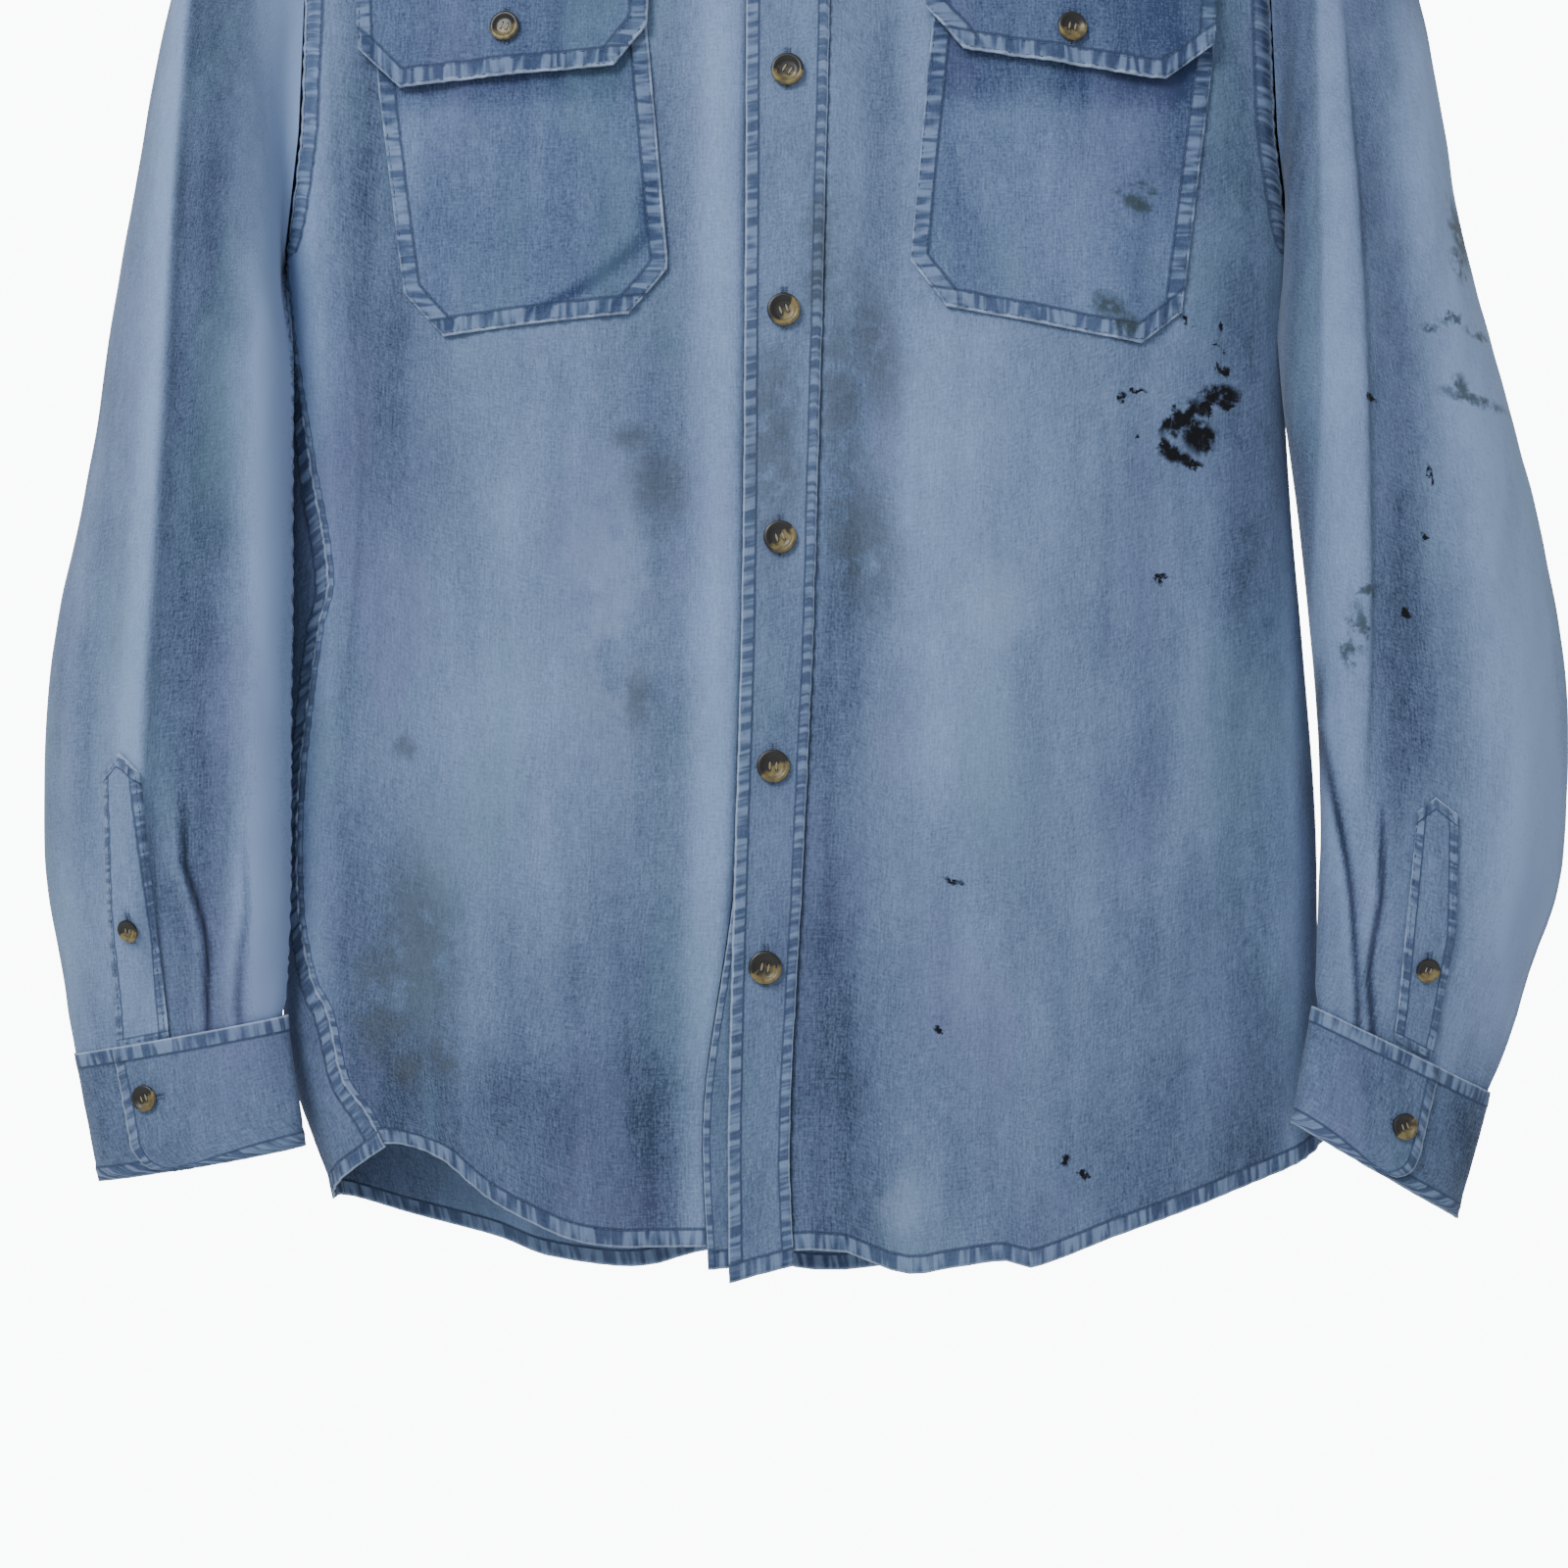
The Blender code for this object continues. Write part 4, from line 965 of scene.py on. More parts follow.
# The long folds of each sleeve, all given as across(height)
left_pressed = smooth_line((-790, -294), (-654, -290), (-580, -286), (-446, -281), (-311, -278), (-240, -276))
left_shade = smooth_line((-790, -266), (-580, -264), (-311, -262))
left_outer = smooth_line((-780, -328), (-620, -322), (-400, -301))
left_pleats = [(smooth_line((-800, -267), (-768, -267), (-740, -266.5), (-707, -275)), -705),
               (smooth_line((-800, -253), (-765, -252), (-729, -247)), -725)]
strip_low = smooth_line((-800, 251), (-690, 246), (-620, 240), (-564, 239), (-446, 241.5), (-378, 243),
                        (-240, 245))
strip_high = smooth_line((-800, 263), (-690, 260), (-620, 261), (-564, 261), (-446, 259), (-378, 257),
                         (-240, 255.5))
right_shade = smooth_line((-790, 277), (-600, 276), (-446, 271), (-311, 266))
right_outer = smooth_line((-760, 335), (-600, 330), (-400, 300))
left_elbow = smooth_line((-800, -336), (-560, -322))
left_inner = smooth_line((-800, -236), (-300, -234))
right_inner = smooth_line((-800, 232), (-240, 235))
right_elbow = smooth_line((-800, 352), (-540, 345))
right_pleats = [(smooth_line((-800, 257), (-777, 255.3), (-748, 253), (-716, 250.5), (-645, 240)), -640),
                (smooth_line((-800, 263.5), (-786, 262.4), (-756, 259.3), (-722, 263.7)), -712)]


def strip(x, z, low, high, height, top=-240, bottom=-700):
    """A flat raised strip between two lines, with crisp sides."""
    inside = step(x - low(z), -1, 1.2) * (1 - step(x - high(z), -1.2, 1))
    return height * inside * (1 - step(z, top, top + 60)) * step(z, bottom, bottom + 70)


def sleeve_folds(side, x, z):
    """How far a sleeve's long folds stand out."""
    if side < 0:
        total = (fold(x, z, left_pressed, 16, 9, -280, -780, 60, 4.5)
                 + fold(x, z, left_shade, 15, -3.5, -300, -900) + fold(x, z, left_outer, 12, 2.5, -360, -760))
        for line, top in left_pleats:
            total = total + fold(x, z, line, 5, 2.8, top - 30, -900, 40, 1.3)
        return total
    total = (strip(x, z, strip_low, strip_high, 5.5) + fold(x, z, right_shade, 15, -4, -260, -780, 100)
             + fold(x, z, right_outer, 16, 3, -360, -760))
    for line, top in right_pleats:
        total = total + fold(x, z, line, 5, 4.0, top - 40, -900, 50, 1.3)
    return total


def sleeve_painted_light_and_wear(side, x, z):
    """Fading of a sleeve's front with painted light and shade: painted highlights on its pressed ridge, raised
    strip and lit faces, painted shade beside them, along the pleats and by the armhole.
    """
    if side < 0:
        total = (fold(x, z, left_pressed, 13, 1.2, -250, -790, 60, 2.5)
                 + fold(x, z, left_shade, 22, -0.7, -200, -820) + fold(x, z, left_outer, 12, -0.35, -560, -740)
                 + fold(x, z, left_elbow, 7, 0.4, -540) + fold(x, z, left_inner, 11, 1.4, -200))
        pleats, pale, dark, beside = left_pleats, 0.5, 0.8, 3
    else:
        total = (strip(x, z, strip_low, strip_high, 0.5) + fold(x, z, right_shade, 16, -0.7, -200, -740, 110)
                 + fold(x, z, right_inner, 9, -0.6, -200) + fold(x, z, right_outer, 28, 1.05, -340, -820)
                 + fold(x, z, right_elbow, 10, 0.35, -520))
        pleats, pale, dark, beside = right_pleats, 0.4, 1.3, 2.6
    for line, top in pleats:
        total = (total + fold(x, z, line, 4, pale, top, -900, 40, 0.8)
                 - fold(x - beside, z, line, 1.8, dark, top, -900, 40))
    return total


IN_CUFF = 1.9          # how much smaller than its cuff a sleeve ends


def sleeve_tube(side, fraction, around):
    """Points of the hanging tube; around 0 is its inner edge and a quarter its front."""
    outer = SLEEVES[side]["outer"](fraction)
    inner = SLEEVES[side]["inner"](fraction)
    c = np.cos(around * 2 * np.pi)[..., None]
    s = np.sin(around * 2 * np.pi)
    point = (outer + inner) / 2 + (inner - outer) / 2 * c
    y = point[..., 1] - sleeve_half_depth(fraction) * s
    x, z = point[..., 0], point[..., 2]
    folds = sleeve_folds(side, x, z)
    at_cuff = step(fraction, 0.968, 0.995)
    steady = np.clip(np.abs(s), 0, 1) * np.clip(fraction * 6, 0, 1) * (1 - at_cuff)
    y = np.where(s > 0, y - folds * steady, y + 0.6 * folds * steady) + IN_CUFF * at_cuff * s
    x = x - IN_CUFF * at_cuff * c[..., 0] * (-side)
    return np.stack([x, y, z - 2.5 * IN_CUFF * at_cuff], -1)


def sleeve_place(side):
    def place(around, down):
        fraction = 0.35 * down + 0.65 * down ** 1.25
        tube = sleeve_tube(side, fraction, around)
        start = armhole(side, around)
        low = np.clip(np.cos(around * 2 * np.pi), 0, 1) ** 2
        start[..., 0] += side * (0.6 + 1.2 * low)
        point = tube + (start - tube) * ((1 - fraction) ** 7)[..., None]
        point[..., 0] = tube[..., 0] + (start[..., 0] - tube[..., 0]) * (1 - fraction) ** 16
        return point

    return place


def sleeve_grid(side, first, last, high, low):
    """Part of a sleeve's points, between two places around it and two down it."""
    def place(across, up):
        return sleeve_place(side)(first + (last - first) * across, low + (high - low) * up)

    columns = steps_for(420 * abs(last - first))
    rows = steps_for(520 * (low - high))
    points = grid(columns, rows, place)
    outward = points - points.mean(axis=1, keepdims=True)
    return points, outward


for side, word in SIDES:
    node = "sleeve_" + word
    points, outward = sleeve_grid(side, 0, 1, 0, 1)
    x, z = points[..., 0], points[..., 2]
    # Fading with painted light and shade on the sleeve's front, weaker on its back, over a faint random tone.
    front_light_and_wear = sleeve_painted_light_and_wear(side, x, z)
    fade = np.where(outward[..., 1] < 0, front_light_and_wear, 0.6 * front_light_and_wear + 0.15 * wrinkle(x, z, 14))
    around = np.linspace(0, 1, points.shape[1])[None, :]
    wave = 0.5 * wrinkle(x * 1.2, z, 15 + side) * np.sin(around * np.pi) ** 0.5
    sleeve = dress(points, right=SEAM if side < 0 else 0, seed=16 + side, ripple=0.4, outward=outward,
                   wave=wave, fade=fade, warp=0.25)
    sleeve["points"][:, -1] = sleeve["points"][:, 0]
    finish_piece(node, sleeve, sleeve_denim,
                 closed=True)

    base, _ = sleeve_grid(side, 0.14, 0.40, 0.74, 1.0)
    facing = np.sign(-normals(base)[..., 1:2])
    normal = normals(base) * facing
    base = base + normal * (0.5 * wrinkle(base[..., 0] * 1.2, base[..., 2], 15 + side))[..., None]
    slit = layer(base, normal, GAUNTLETS[side], LAYER, width=4.0, ripple=0.45, seed=40 + side,
                 fade=0.2 if side < 0 else -0.1)
    slit["flip"] = 1 if (normals(base)[..., 1] < 0).mean() > 0.5 else -1
    finish_piece("sleeve_placket_" + word, slit, band_denim, 1.0,
                 GAUNTLETS[side])

# %% [markdown]
# ## Cuffs and collar
# A cuff is a doubled band that goes once round the wrist and laps over itself at the button. Its
# lapping end has a rounded lower corner. The collar stands on a band of its own and its leaf
# falls over that band to a point at each side.

# %% Cuffs
CUFFS = {
    -1: ((-231, -56, -778), (-332, -40, -797), (-223, -56, -838), (-320, -41, -856)),
    1: ((241, -60, -774), (325, -44, -815), (229, -69, -826), (308, -52, -872)),
}
CUFF_HALF_DEPTH = 17
CUFF_LAP = math.radians(32)
CUFF_END = {-1: math.radians(122), 1: math.radians(108)}


def cuff_place(side):
    """A function for a cuff's points, from its lapping end round to the end below it."""
    inner_top, outer_top, inner_low, outer_low = [np.array(corner, float) for corner in CUFFS[side]]
    whole = 2 * np.pi + CUFF_LAP

    def place(along, up):
        down = 1 - up
        turned = np.clip((down - 0.73) / 0.27, 0, 1)
        corner = math.radians(24) * (1 - np.sqrt(1 - turned ** 2)) * (1 - along) ** 6
        angle = CUFF_END[side] - corner - (whole - corner) * along
        inner = inner_top + (inner_low - inner_top) * down[..., None]
        outer = outer_top + (outer_low - outer_top) * down[..., None]
        out = 1.3 * (1 - 2 * along)
        point = (inner + outer) / 2 + (inner - outer) / 2 * (np.cos(angle) * (1 + out / 48))[..., None]
        point[..., 1] -= (CUFF_HALF_DEPTH + out) * np.sin(angle)
        return point

    return place


for side, word in SIDES:
    points = grid(steps_for(255), steps_for(60), cuff_place(side))
    outward = points - points.mean(axis=1, keepdims=True)
    cuff = dress(points, left=5.0, right=5.0, bottom=6.5, top=7.0, ripple=0.35, seed=50 + side,
                 outward=outward, wave=0.35 * wrinkle(points[..., 0] * 2, points[..., 2] * 2, 52))
    # Painted shade on the end that lies under the lapping end.
    underlap_shade = step(np.linspace(0, 1, points.shape[1])[None, :], 0.74, 0.8)
    cuff["fade"] = cuff["fade"] - 0.35 - 0.12 * underlap_shade
    finish_piece("cuff_" + word, cuff, band_denim, 1.3)

# %% Collar stand and collar leaf
stand_foot = smooth_line((0, -166), (30, -162), (50, -150), (66, -132), (80, -98), (92, -79),
                         (112, -78), (140, -90), (180, -97))
stand_height = smooth_line((0, 27), (70, 32), (180, 36))
leaf_edge = smooth_line((9, 50, -50, -206), (22, 62, -49, -188), (45, 82, -45, -160), (65, 98, -39, -131),
                        (80, 105, -22, -107), (92, 105, -4, -95), (110, 99, 15, -98), (130, 80, 32, -106),
                        (150, 50, 34, -112), (180, 0, 34, -115))
LEAF_START = 9
STAND_LAP = 12
STAND_CENTRE = -7
STAND_HALF_DEPTH = 33


def stand_point(degrees, rise, out=0.0):
    """Points of the collar stand; degrees run from -180 to 180 round the neck."""
    angle = np.radians(degrees)
    turn = np.where(np.abs(degrees) <= 180, np.abs(degrees), 360 - np.abs(degrees))
    lean = -3 * rise
    x = (NECK_HALF - 1.5 + lean + out) * np.sin(angle)
    y = STAND_CENTRE - (STAND_HALF_DEPTH + lean + out) * np.cos(angle)
    return np.stack([x, y, stand_foot(turn) + stand_height(turn) * rise], -1)


def stand_place(along, up):
    return stand_point(-STAND_LAP + (360 + 2 * STAND_LAP) * along, up, 1.3 - 2.6 * along)


def leaf_place(along, up):
    degrees = LEAF_START + (360 - 2 * LEAF_START) * along
    side = np.where(degrees < 180, 1, -1)
    turn = np.minimum(degrees, 360 - degrees)
    top = stand_point(degrees, 1 + 0 * up, 3)
    top[..., 2] += 3
    edge = leaf_edge(turn)
    edge[..., 0] *= side
    down = 1 - up
    point = top + (edge - top) * down[..., None]
    point[..., 2] += 3 * np.sin(np.pi * down) * np.sqrt(1 - 0.3 * down)
    return point


for node, place, length, height, top, out, flat in (
        ("collar_stand", stand_place, 350, 32, 5.0, 0, (0.479, 0.036)),
        ("collar", leaf_place, 480, 72, 0, 10, (0.542, 0.082))):
    points = grid(steps_for(length), steps_for(height), place)
    outward = points - np.array([0, STAND_CENTRE, 0])
    outward[..., 2] = out
    sheet = dress(points, left=6.0, right=6.0, bottom=6.0, top=top, ripple=0.3, seed=60, outward=outward)
    finish_piece(node, sheet, band_denim, 1.2)

# %% [markdown]
# ## Stitches
# Lock stitches are about 3 mm long, in indigo polyester thread that has faded less than the
# cloth. There are thousands, so they are Geometry Nodes' work: a mesh of bare points carries a
# direction and a stretch for each stitch, and one node tree puts a small sunk thread on each.
# The same tree sews the buttonholes, with shorter stitches laid side by side across a slit.

# %% The sewing tree
def sewing_tree(name):
    """Puts a rounded thread on every point, along its direction."""
    tree = bpy.data.node_groups.new(name, "GeometryNodeTree")
    for title, direction, kind in (("Geometry", "INPUT", "Geometry"), ("Stitch length", "INPUT", "Float"),
                                   ("Thread thickness", "INPUT", "Float"), ("Thread sides", "INPUT", "Int"),
                                   ("Thread", "INPUT", "Material"), ("Geometry", "OUTPUT", "Geometry")):
        tree.interface.new_socket(title, in_out=direction, socket_type="NodeSocket" + kind)
    given = add(tree, "NodeGroupInput").outputs
    way = add(tree, "GeometryNodeInputNamedAttribute", {"Name": "direction"}, data_type="FLOAT_VECTOR")
    stretch = add(tree, "GeometryNodeInputNamedAttribute", {"Name": "stretch"}, data_type="FLOAT")
    turned = add(tree, "FunctionNodeAlignRotationToVector", {"Vector": way.outputs[0]}, axis="Z")
    length = maths(tree, "MULTIPLY", given["Stitch length"], stretch.outputs[0])
    size = add(tree, "ShaderNodeCombineXYZ", {"X": given["Thread thickness"], "Y": given["Thread thickness"],
               "Z": length})
    thread = add(tree, "GeometryNodeMeshUVSphere", {"Segments": given["Thread sides"], "Rings": 4,
                 "Radius": 0.5})
    placed = add(tree, "GeometryNodeInstanceOnPoints", {"Points": given["Geometry"],
                 "Instance": thread.outputs[0], "Rotation": turned.outputs[0], "Scale": size.outputs[0]})
    real = add(tree, "GeometryNodeRealizeInstances", {"Geometry": placed.outputs[0]})
    painted = add(tree, "GeometryNodeSetMaterial", {"Geometry": real.outputs[0], "Material": given["Thread"]})
    add(tree, "NodeGroupOutput", {0: painted.outputs[0]})
    return tree


sewing = sewing_tree("sewing")
socket = {item.name: item.identifier for item in sewing.interface.items_tree if item.in_out == "INPUT"}


def sew(name, points, directions, stretches, length, thickness, thread):
    """A plain mesh of stitches, one for each point."""
    data = bpy.data.meshes.new(name)
    data.vertices.add(len(points))
    data.vertices.foreach_set("co", (np.array(points) * MM).reshape(-1))
    way = data.attributes.new("direction", "FLOAT_VECTOR", "POINT")
    way.data.foreach_set("vector", np.array(directions, float).reshape(-1))
    amount = data.attributes.new("stretch", "FLOAT", "POINT")
    amount.data.foreach_set("value", np.array(stretches, float))
    maker = put(name + "_points", data)
    nodes = maker.modifiers.new("sewing", "NODES")
    nodes.node_group = sewing
    nodes[socket["Stitch length"]] = length * MM
    nodes[socket["Thread thickness"]] = thickness * MM
    nodes[socket["Thread sides"]] = 6
    nodes[socket["Thread"]] = thread
    done = bpy.data.meshes.new_from_object(maker.evaluated_get(bpy.context.evaluated_depsgraph_get()))
    bpy.data.objects.remove(maker)
    done.name = name
    thing = put(name, done)
    done.shade_smooth()
    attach(thing, "root")
    triangles = sum(len(face.vertices) - 2 for face in done.polygons)
    print("%-22s %6d stitches, %7d triangles" % (name, len(points), triangles))


def thread_material(name, colour, roughness=0.6):
    """Twisted polyester thread: a soft gleam broken by its ply, drawn as fine bands."""
    finish, tree, shader = new_material(name)
    place = add(tree, "ShaderNodeTexCoord").outputs["Object"]
    ply = noise(tree, scaled(tree, place, (900, 900, 900)), 1, 1)
    shade = blended(tree, between(tree, ply, 0.35, 0.65), linear(colour), linear("8796B4"))
    tree.links.new(blended(tree, 0.25, linear(colour), shade), shader.inputs["Base Color"])
    tree.links.new(between(tree, ply, 0.3, 0.7, roughness - 0.1, roughness + 0.1), shader.inputs["Roughness"])
    return finish


indigo_thread = thread_material("indigo_thread", "2C3B5C")
hole_thread = thread_material("buttonhole_thread", "536488")
# Painted shadow: the dark strip that stands for the shade inside each buttonhole's cut.
slit_shadow = thread_material("slit_edge", "1B2438", 0.9)

# %% Seam lines to sew along
STITCH_PITCH = 3.0
ABOVE = 0.42           # a stitch's middle above the cloth's own middle
INNER = 0.97           # where a seam's inner row of stitches runs, in seam widths
OUTER = 1.6            # a seam's outer row, in from its edge


def edge_path(sheet, edge, distance):
    """The line that lies a distance in from one edge of a dressed sheet."""
    points = sheet["points"] + sheet["normal"] * ABOVE
    along = sheet["u"] if edge in ("left", "right") else sheet["v"]
    if edge in ("bottom", "top"):
        points = points.transpose(1, 0, 2)
        along = along.T
    if edge in ("right", "top"):
        points = points[:, ::-1]
        along = (along[:, -1:] - along)[:, ::-1]
    return np.array([[np.interp(distance, row, line[:, k]) for k in range(3)]
                     for row, line in zip(along, points)])


def stitched(path, pitch=STITCH_PITCH):
    """Middles and directions of the stitches along a path."""
    gone = np.concatenate([[0], np.cumsum(np.linalg.norm(np.diff(path, axis=0), axis=1))])
    count = int(gone[-1] / pitch)
    ends = np.stack([np.interp(np.arange(count + 1) * pitch, gone, path[:, k]) for k in range(3)], -1)
    return (ends[1:] + ends[:-1]) / 2, ends[1:] - ends[:-1]


def on_sheet(sheet):
    """A function that finds where a level line of sight meets a sheet: its point and its normal."""
    rows, columns = sheet["u"].shape
    index = np.arange(rows * columns).reshape(rows, columns)
    quads = np.stack([index[:-1, :-1], index[:-1, 1:], index[1:, 1:], index[1:, :-1]], -1).reshape(-1, 4)
    tree = BVHTree.FromPolygons(sheet["points"].reshape(-1, 3).tolist(), quads.tolist())

    def find(x, z):
        hit, normal, _, _ = tree.ray_cast(Vector((x, -1000, z)), Vector((0, 1, 0)))
        if hit is None:
            return None, None
        return hit, (normal if normal.y < 0 else -normal)

    return find


def inset_path(sheet, outline, distance, open_top=False):
    """A line on a layer that lies a distance in from its outline."""
    find = on_sheet(sheet)
    lines = [(start + inwards * distance, end - start) for start, end, inwards in outline_edges(outline)]
    corners = []
    for (a, way_a), (b, way_b) in zip(lines[-1:] + lines[:-1], lines):
        cross = way_a[0] * way_b[1] - way_a[1] * way_b[0]
        corners.append(a + way_a * (((b[0] - a[0]) * way_b[1] - (b[1] - a[1]) * way_b[0]) / cross))
    if not open_top:
        corners.append(corners[0])
    path = []
    for a, b in zip(corners, corners[1:]):
        for share in np.linspace(0, 1, max(int(math.hypot(*(b - a)) / 2), 2), endpoint=False):
            hit, normal = find(*(a + (b - a) * share))
            if hit is not None:
                path.append(hit + normal * (ABOVE + 0.1))
    return np.array(path)


# %% All the seams
paths = []
for node in ("front_left", "front_right"):
    panel = sheets[node]
    above = panel["points"][:, 0, 2] > UNDERARM
    paths.append(edge_path(panel, "left", ARMHOLE_SEAM * 0.96)[above])
    paths.append(edge_path(panel, "left", OUTER)[above])
    paths.append(edge_path(panel, "bottom", SEAM * INNER))
back = sheets["back"]
above = back["points"][:, 0, 2] > UNDERARM
for edge in ("left", "right"):
    paths.append(edge_path(back, edge, ARMHOLE_SEAM * 0.96)[above])
    paths.append(edge_path(back, edge, SEAM * INNER)[~above])
    paths.append(edge_path(back, edge, OUTER))
    paths.append(edge_path(yoke, edge, ARMHOLE_SEAM * 0.96))
for sheet, edge, distance in ((back, "bottom", SEAM * INNER), (yoke, "bottom", OUTER),
                              (yoke, "bottom", SEAM * INNER), (placket, "left", 5.8),
                              (placket, "right", 4.8), (placket, "bottom", SEAM * INNER),
                              (button_band, "bottom", SEAM * INNER)):
    paths.append(edge_path(sheet, edge, distance))
for side, word in SIDES:
    for distance in (1.4, SEAM * 0.96):
        paths.append(inset_path(sheets["pocket_" + word], POCKETS[side], distance, open_top=True))
        paths.append(inset_path(sheets["flap_" + word], FLAPS[side], distance))
    paths.append(inset_path(sheets["sleeve_placket_" + word], GAUNTLETS[side], 1.8))
    for edge, distance in (("left", 4.9), ("right", 4.9), ("bottom", 6.3), ("top", 6.8)):
        paths.append(edge_path(sheets["cuff_" + word], edge, distance))
paths.append(edge_path(sheets["sleeve_left"], "right", SEAM * INNER))
for edge in ("left", "right", "bottom"):
    paths.append(edge_path(sheets["collar"], edge, 5.9))
    paths.append(edge_path(sheets["collar_stand"], edge, 2.0))
middles, ways = zip(*[stitched(path) for path in paths if len(path) > 3])
middles = np.concatenate(middles)
ways = np.concatenate(ways)
sew("seam_stitches", middles, ways, np.ones(len(middles)), 2.4, 0.44, indigo_thread)

# %% [markdown]
# ## Buttons and their holes
# Four-hole buttons in imitation horn: cast brown resin with swirls, turned with a raised rim and
# polished, with painted shade over the same half of every button. One is modelled with its holes
# cut, then copied at each size.
# Two strands of thread hold it. Its hole is a slit edged with stitches laid close together.

# %% One button
HOLE_AT = 0.2          # all in button radii
HOLE_RADIUS = 0.095


def button_mesh():
    """A four-hole button of radius 1, turned from its profile and drilled."""
    profile = [(0, 0.50), (0.45, 0.50), (0.60, 0.56), (0.70, 0.84), (0.78, 0.97), (0.88, 1.0),
               (0.97, 0.84), (1.0, 0.55), (0.96, 0.16), (0.86, 0), (0, 0)]
    outline = bmesh.new()
    points = [outline.verts.new((across, 0, up * 0.36)) for across, up in profile]
    for first, second in zip(points, points[1:]):
        outline.edges.new((first, second))
    data = bpy.data.meshes.new("button_profile")
    outline.to_mesh(data)
    turned = put("button_turned", data)
    screw = turned.modifiers.new("turned", "SCREW")
    screw.steps = 36
    screw.render_steps = 36
    screw.use_merge_vertices = True
    screw.merge_threshold = 0.0001
    drills = bmesh.new()
    for across in (-HOLE_AT, HOLE_AT):
        for up in (-HOLE_AT, HOLE_AT):
            bmesh.ops.create_cone(drills, cap_ends=True, segments=12, radius1=HOLE_RADIUS,
                                  radius2=HOLE_RADIUS, depth=2, matrix=Matrix.Translation((across, up, 0)))
    drill_data = bpy.data.meshes.new("button_drills")
    drills.to_mesh(drill_data)
    drill = put("button_drills", drill_data)
    cut = turned.modifiers.new("holes", "BOOLEAN")
    cut.operation = "DIFFERENCE"
    cut.object = drill
    done = bpy.data.meshes.new_from_object(turned.evaluated_get(bpy.context.evaluated_depsgraph_get()))
    bpy.data.objects.remove(turned)
    bpy.data.objects.remove(drill)
    return done


def horn_material():
    """Cast imitation horn: honey brown with swirls and painted shade over one half, clear and smooth on top."""
    finish, tree, shader = new_material("imitation_horn")
    shade = add(tree, "ShaderNodeAttribute", attribute_name="one_side_shade").outputs["Fac"]
    place = add(tree, "ShaderNodeTexCoord").outputs["Object"]
    swirl = noise(tree, scaled(tree, place, (230, 230, 230)), 1, 3, 0.6, 0.8)
    depth = maths(tree, "ADD", shade, maths(tree, "MULTIPLY", maths(tree, "SUBTRACT", swirl, 0.5), 1.3))
    honey = blended(tree, between(tree, swirl, 0.35, 0.7), linear("75683C"), linear("463C22"))
    colour = blended(tree, between(tree, depth, -0.28, 0.04), honey, linear("0B0A0A"))
    tree.links.new(colour, shader.inputs["Base Color"])
    tree.links.new(between(tree, swirl, 0.3, 0.7, 0.38, 0.5), shader.inputs["Roughness"])
    shader.inputs["IOR"].default_value = 1.55
    shader.inputs["Coat Weight"].default_value = 0.05
    return finish


one_button = button_mesh()
horn = horn_material()
button_thread = thread_material("button_thread", "857850")
print("one button has", len(one_button.polygons), "faces")

# %% Buttons in their places
SEAT = 1.3             # a button's foot above the cloth
HOLE_LIFT = 0.75       # a buttonhole's stitches above the cloth
HOLE_OVERHANG = 2.2    # how far a buttonhole passes its button's rim
HOLE_PITCH = 0.75
HOLE_SHIFT = 1.0       # a closed button sits at one end of its hole
HOLE_HALF_WIDTH = 0.95
THREAD_BAR = (0.07, 0.05, 0.27, 1)     # half sizes of a strand across two holes, in button radii
SHADED_SIDE = Vector((-0.45, 0.85, 0))
hole_points, hole_ways, slit_points, slit_ways, slit_lengths = [], [], [], [], []
rng = np.random.default_rng(7)


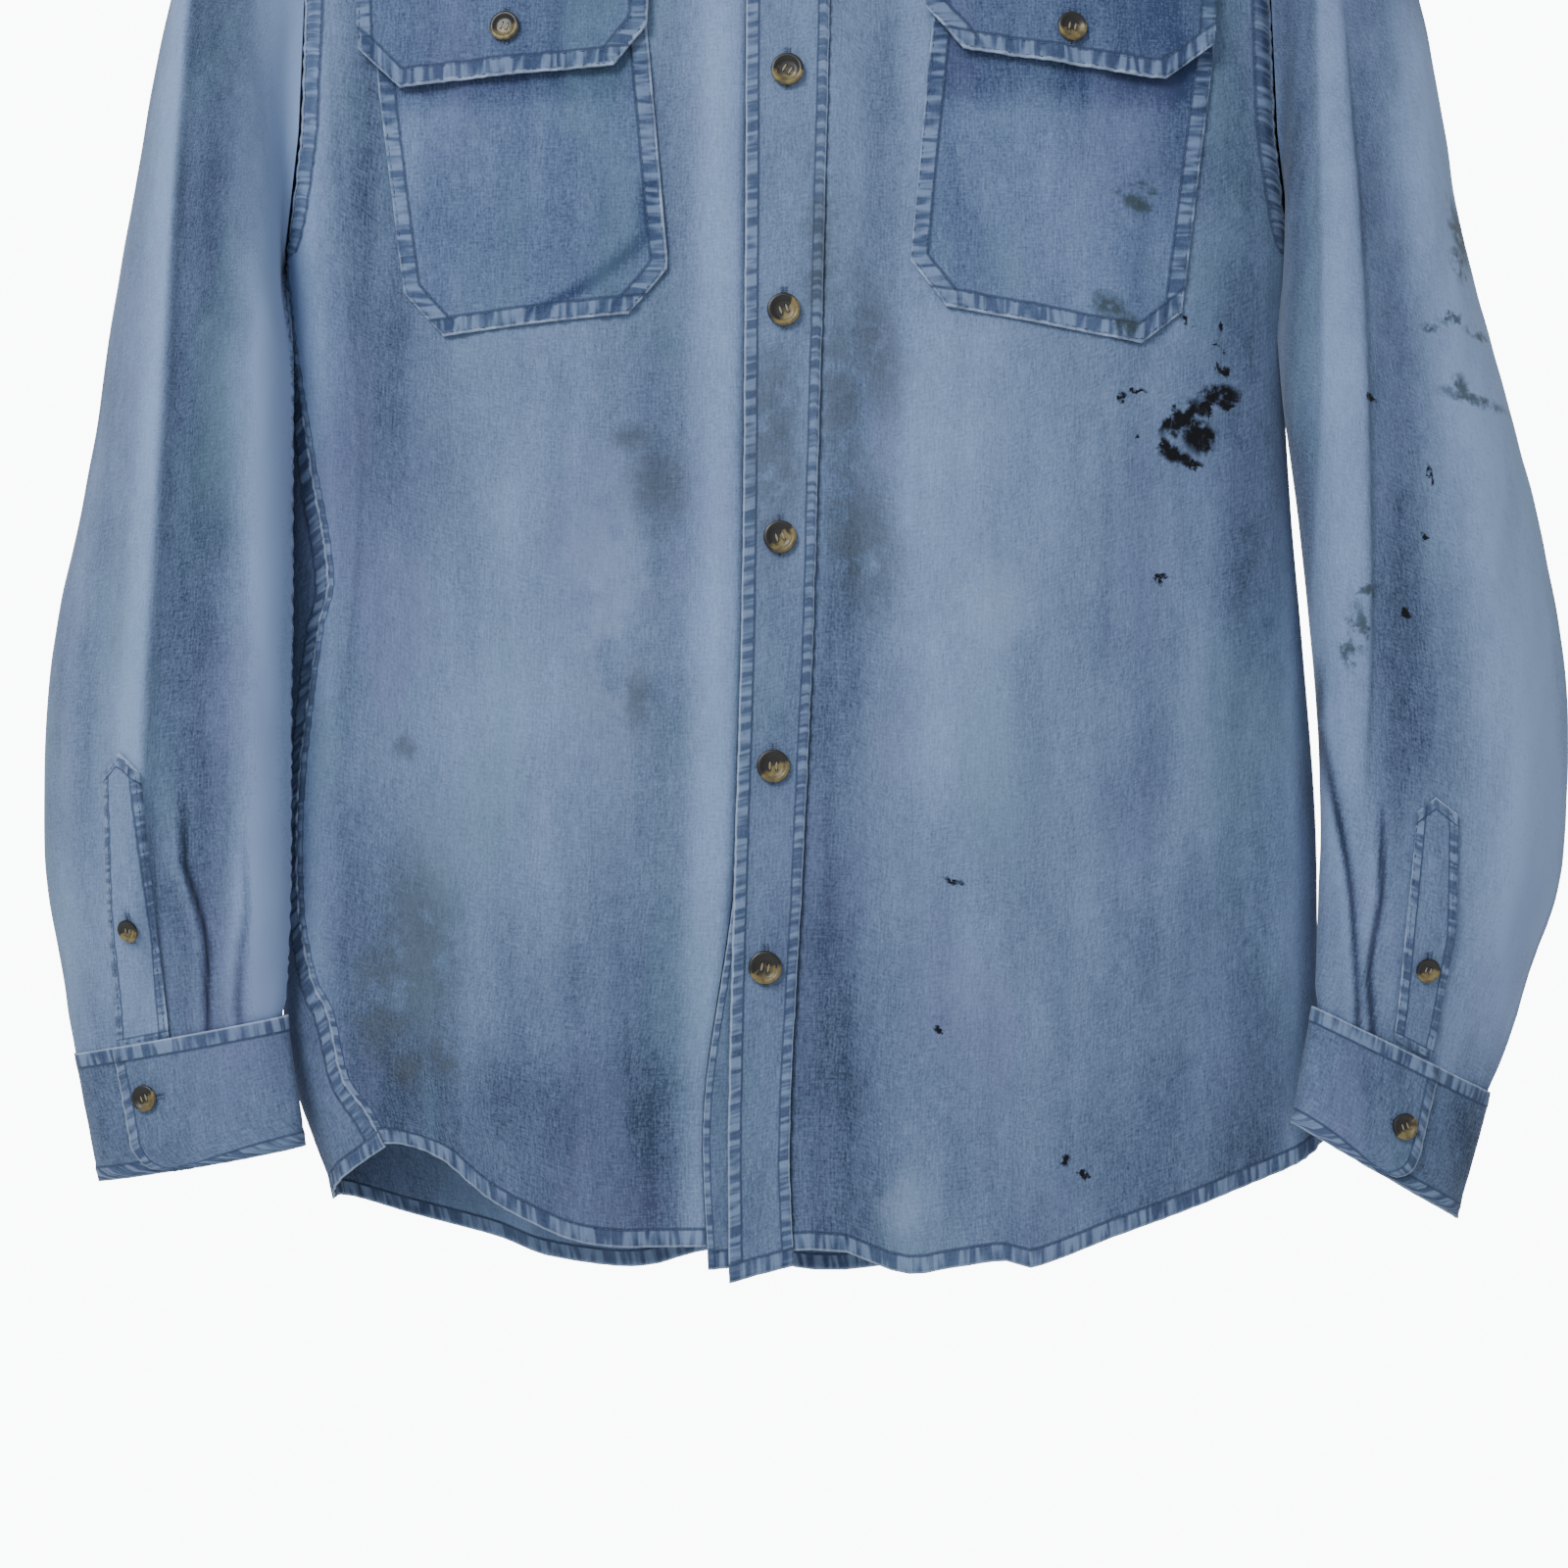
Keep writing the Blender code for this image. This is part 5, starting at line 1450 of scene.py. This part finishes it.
def place_button(node):
    """Puts a button on the cloth at its node's place, with its thread and its buttonhole."""
    low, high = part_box(node)
    middle = (low + high) / 2 / MM
    radius = (high.x - low.x) / 2 / MM
    word = "left" if node.endswith("left") else "right"
    kind = node.split("_")[0]
    below = {"front": "placket", "collar": "collar_stand", "sleeve": "sleeve_placket_" + word}
    ways = {"collar": (1, 0, 0), "cuff": (1, 0, 0.2 if word == "left" else -0.5)}
    way = Vector(ways.get(kind, (0, 0, 1)))
    hit, normal = on_sheet(sheets[below.get(kind, "%s_%s" % (kind, word))])(middle.x, middle.z)
    turn = normal.to_track_quat("Z", "Y").to_matrix().to_4x4()
    spin = Matrix.Rotation(float(rng.uniform(-0.5, 0.5)), 4, "Z")
    seat = Matrix.Translation((hit + normal * SEAT) * MM) @ turn @ spin @ Matrix.Scale(radius * MM, 4)
    shape = bmesh.new()
    shape.from_mesh(one_button)
    # Painted shade: every button is darkened over the same half.
    one_side_shade = shape.verts.layers.float.new("one_side_shade")
    for vertex in shape.verts:
        vertex[one_side_shade] = vertex.co.dot(SHADED_SIDE) * 0.9
    faces_before = set(shape.faces)
    for across in (-HOLE_AT, HOLE_AT):
        bar = (Matrix.Translation((across, 0, 0.20)) @ Matrix.Rotation(math.pi / 2, 4, "X")
               @ Matrix.Diagonal(THREAD_BAR))
        bmesh.ops.create_uvsphere(shape, u_segments=8, v_segments=6, radius=1, matrix=bar)
    for face in shape.faces:
        face.smooth = True
        if face not in faces_before:
            face.material_index = 1
    shape.transform(seat)
    data = bpy.data.meshes.new(node + "_horn")
    shape.to_mesh(data)
    shape.free()
    data.materials.append(horn)
    data.materials.append(button_thread)
    data.set_sharp_from_angle(angle=math.radians(40))
    thing = put(node + "_horn", data)
    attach(thing, "root")
    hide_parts(node)

    along = (way - normal * way.dot(normal)).normalized()
    over = normal.cross(along)
    half = radius + HOLE_OVERHANG
    base = hit + normal * HOLE_LIFT
    slit_points.append(base + along * HOLE_SHIFT)
    slit_ways.append(along)
    slit_lengths.append(half * 2)
    for place in np.arange(-half, half + 0.01, HOLE_PITCH):
        for hand in (-1, 1):
            hole_points.append(base + along * (HOLE_SHIFT + float(place)) + over * (HOLE_HALF_WIDTH * hand))
            hole_ways.append(over)


for node in sorted(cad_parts):
    if "button" in node and node != "button_band":
        place_button(node)
sew("buttonhole_stitches", hole_points, hole_ways, np.ones(len(hole_points)), 1.7, 0.55, hole_thread)
# Painted shadow: a dark strip down each buttonhole's slit.
sew("buttonhole_slit_shadows", slit_points, slit_ways, slit_lengths, 1.0, 0.6, slit_shadow)

# %% [markdown]
# ## The hanger
# A plain shaped hanger: a varnished beech bar with a bent steel hook. Both keep the shapes of the
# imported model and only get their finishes.

# %% Beech and steel
def beech():
    """Varnished beech with its grain along the bar."""
    finish, tree, shader = new_material("varnished_beech")
    place = add(tree, "ShaderNodeTexCoord").outputs["Object"]
    grain = noise(tree, scaled(tree, place, (14, 420, 420)), 1, 4, 0.6, 0.4)   # grain lines 2 to 3 mm apart
    flecks = noise(tree, scaled(tree, place, (120, 900, 900)), 1, 2)
    colour = blended(tree, between(tree, grain, 0.35, 0.65), linear("B98F5E"), linear("8E6438"))
    colour = blended(tree, between(tree, flecks, 0.58, 0.7, 0, 0.5), colour, linear("6B4725"))
    tree.links.new(colour, shader.inputs["Base Color"])
    tree.links.new(between(tree, grain, 0.3, 0.7, 0.3, 0.42), shader.inputs["Roughness"])
    bump = add(tree, "ShaderNodeBump", {"Strength": 0.2, "Distance": 0.0003, "Height": grain})
    tree.links.new(bump.outputs[0], shader.inputs["Normal"])
    shader.inputs["Coat Weight"].default_value = 0.4
    return finish


def steel_wire():
    """Plated wire, faintly streaked along its length."""
    finish, tree, shader = new_material("zinc_plated_steel_wire")
    place = add(tree, "ShaderNodeTexCoord").outputs["Object"]
    drawn = noise(tree, scaled(tree, place, (900, 900, 150)), 1, 2)
    colour = blended(tree, drawn, linear("B9BCC0"), linear("989CA2"))
    tree.links.new(colour, shader.inputs["Base Color"])
    shader.inputs["Metallic"].default_value = 1.0
    tree.links.new(between(tree, drawn, 0.3, 0.7, 0.22, 0.38), shader.inputs["Roughness"])
    return finish


for node, finish in (("hanger_bar", beech()), ("hanger_hook", steel_wire())):
    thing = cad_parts[node]
    thing.data.materials.clear()
    thing.data.materials.append(finish)
    print(node, "keeps its shape,", len(thing.data.polygons), "faces")

# %% Camera, floor and light
eye = bpy.data.cameras.new("camera")
camera = put("camera", eye)
SENSOR = 36
SHIRT_AWAY = 1.25      # from the camera to the fronts
SEEN_WIDTH = 0.712     # how much of the fronts' plane the picture holds
eye.sensor_width = SENSOR
eye.lens = SENSOR * SHIRT_AWAY / SEEN_WIDTH
camera.location = (-0.002, -1.319, -0.672)
camera.rotation_euler = (math.radians(90), 0, 0)
bpy.context.scene.camera = camera
ROOM_LIGHT = 0.7
SEEN_LIGHT = 11.0
sky = bpy.data.worlds.new("studio")
bpy.context.scene.world = sky
sky.use_nodes = True
light = sky.node_tree.nodes["Background"]
light.inputs["Color"].default_value = (0.95, 0.97, 1.0, 1)
seen = add(sky.node_tree, "ShaderNodeLightPath").outputs["Is Camera Ray"]
strength = between(sky.node_tree, seen, 0, 1, ROOM_LIGHT, SEEN_LIGHT, smooth=False)
sky.node_tree.links.new(strength, light.inputs["Strength"])


def soft_light(name, place, size, power, aim=(0, 0, -0.6)):
    """A square lamp turned towards the shirt."""
    data = bpy.data.lights.new(name, "AREA")
    data.size = size
    data.energy = power
    lamp = put(name, data)
    lamp.location = place
    lamp.rotation_euler = (Vector(aim) - Vector(place)).to_track_quat("-Z", "Y").to_euler()


soft_light("window", (-1.1, -1.9, 0.8), 0.9, 50)
soft_light("behind", (0.5, 2.2, 0.6), 2.0, 25)

floor_mesh = bmesh.new()
bmesh.ops.create_grid(floor_mesh, x_segments=1, y_segments=1, size=2.3)
floor_data = bpy.data.meshes.new("floor")
floor_mesh.to_mesh(floor_data)
floor_data.transform(Matrix.Translation((0, 0, -1.75)))
floor = put("floor", floor_data)
floor_finish, _, shader = new_material("pale_floor")
shader.inputs["Base Color"].default_value = linear("F2F2F0")
shader.inputs["Roughness"].default_value = 0.9
floor_data.materials.append(floor_finish)
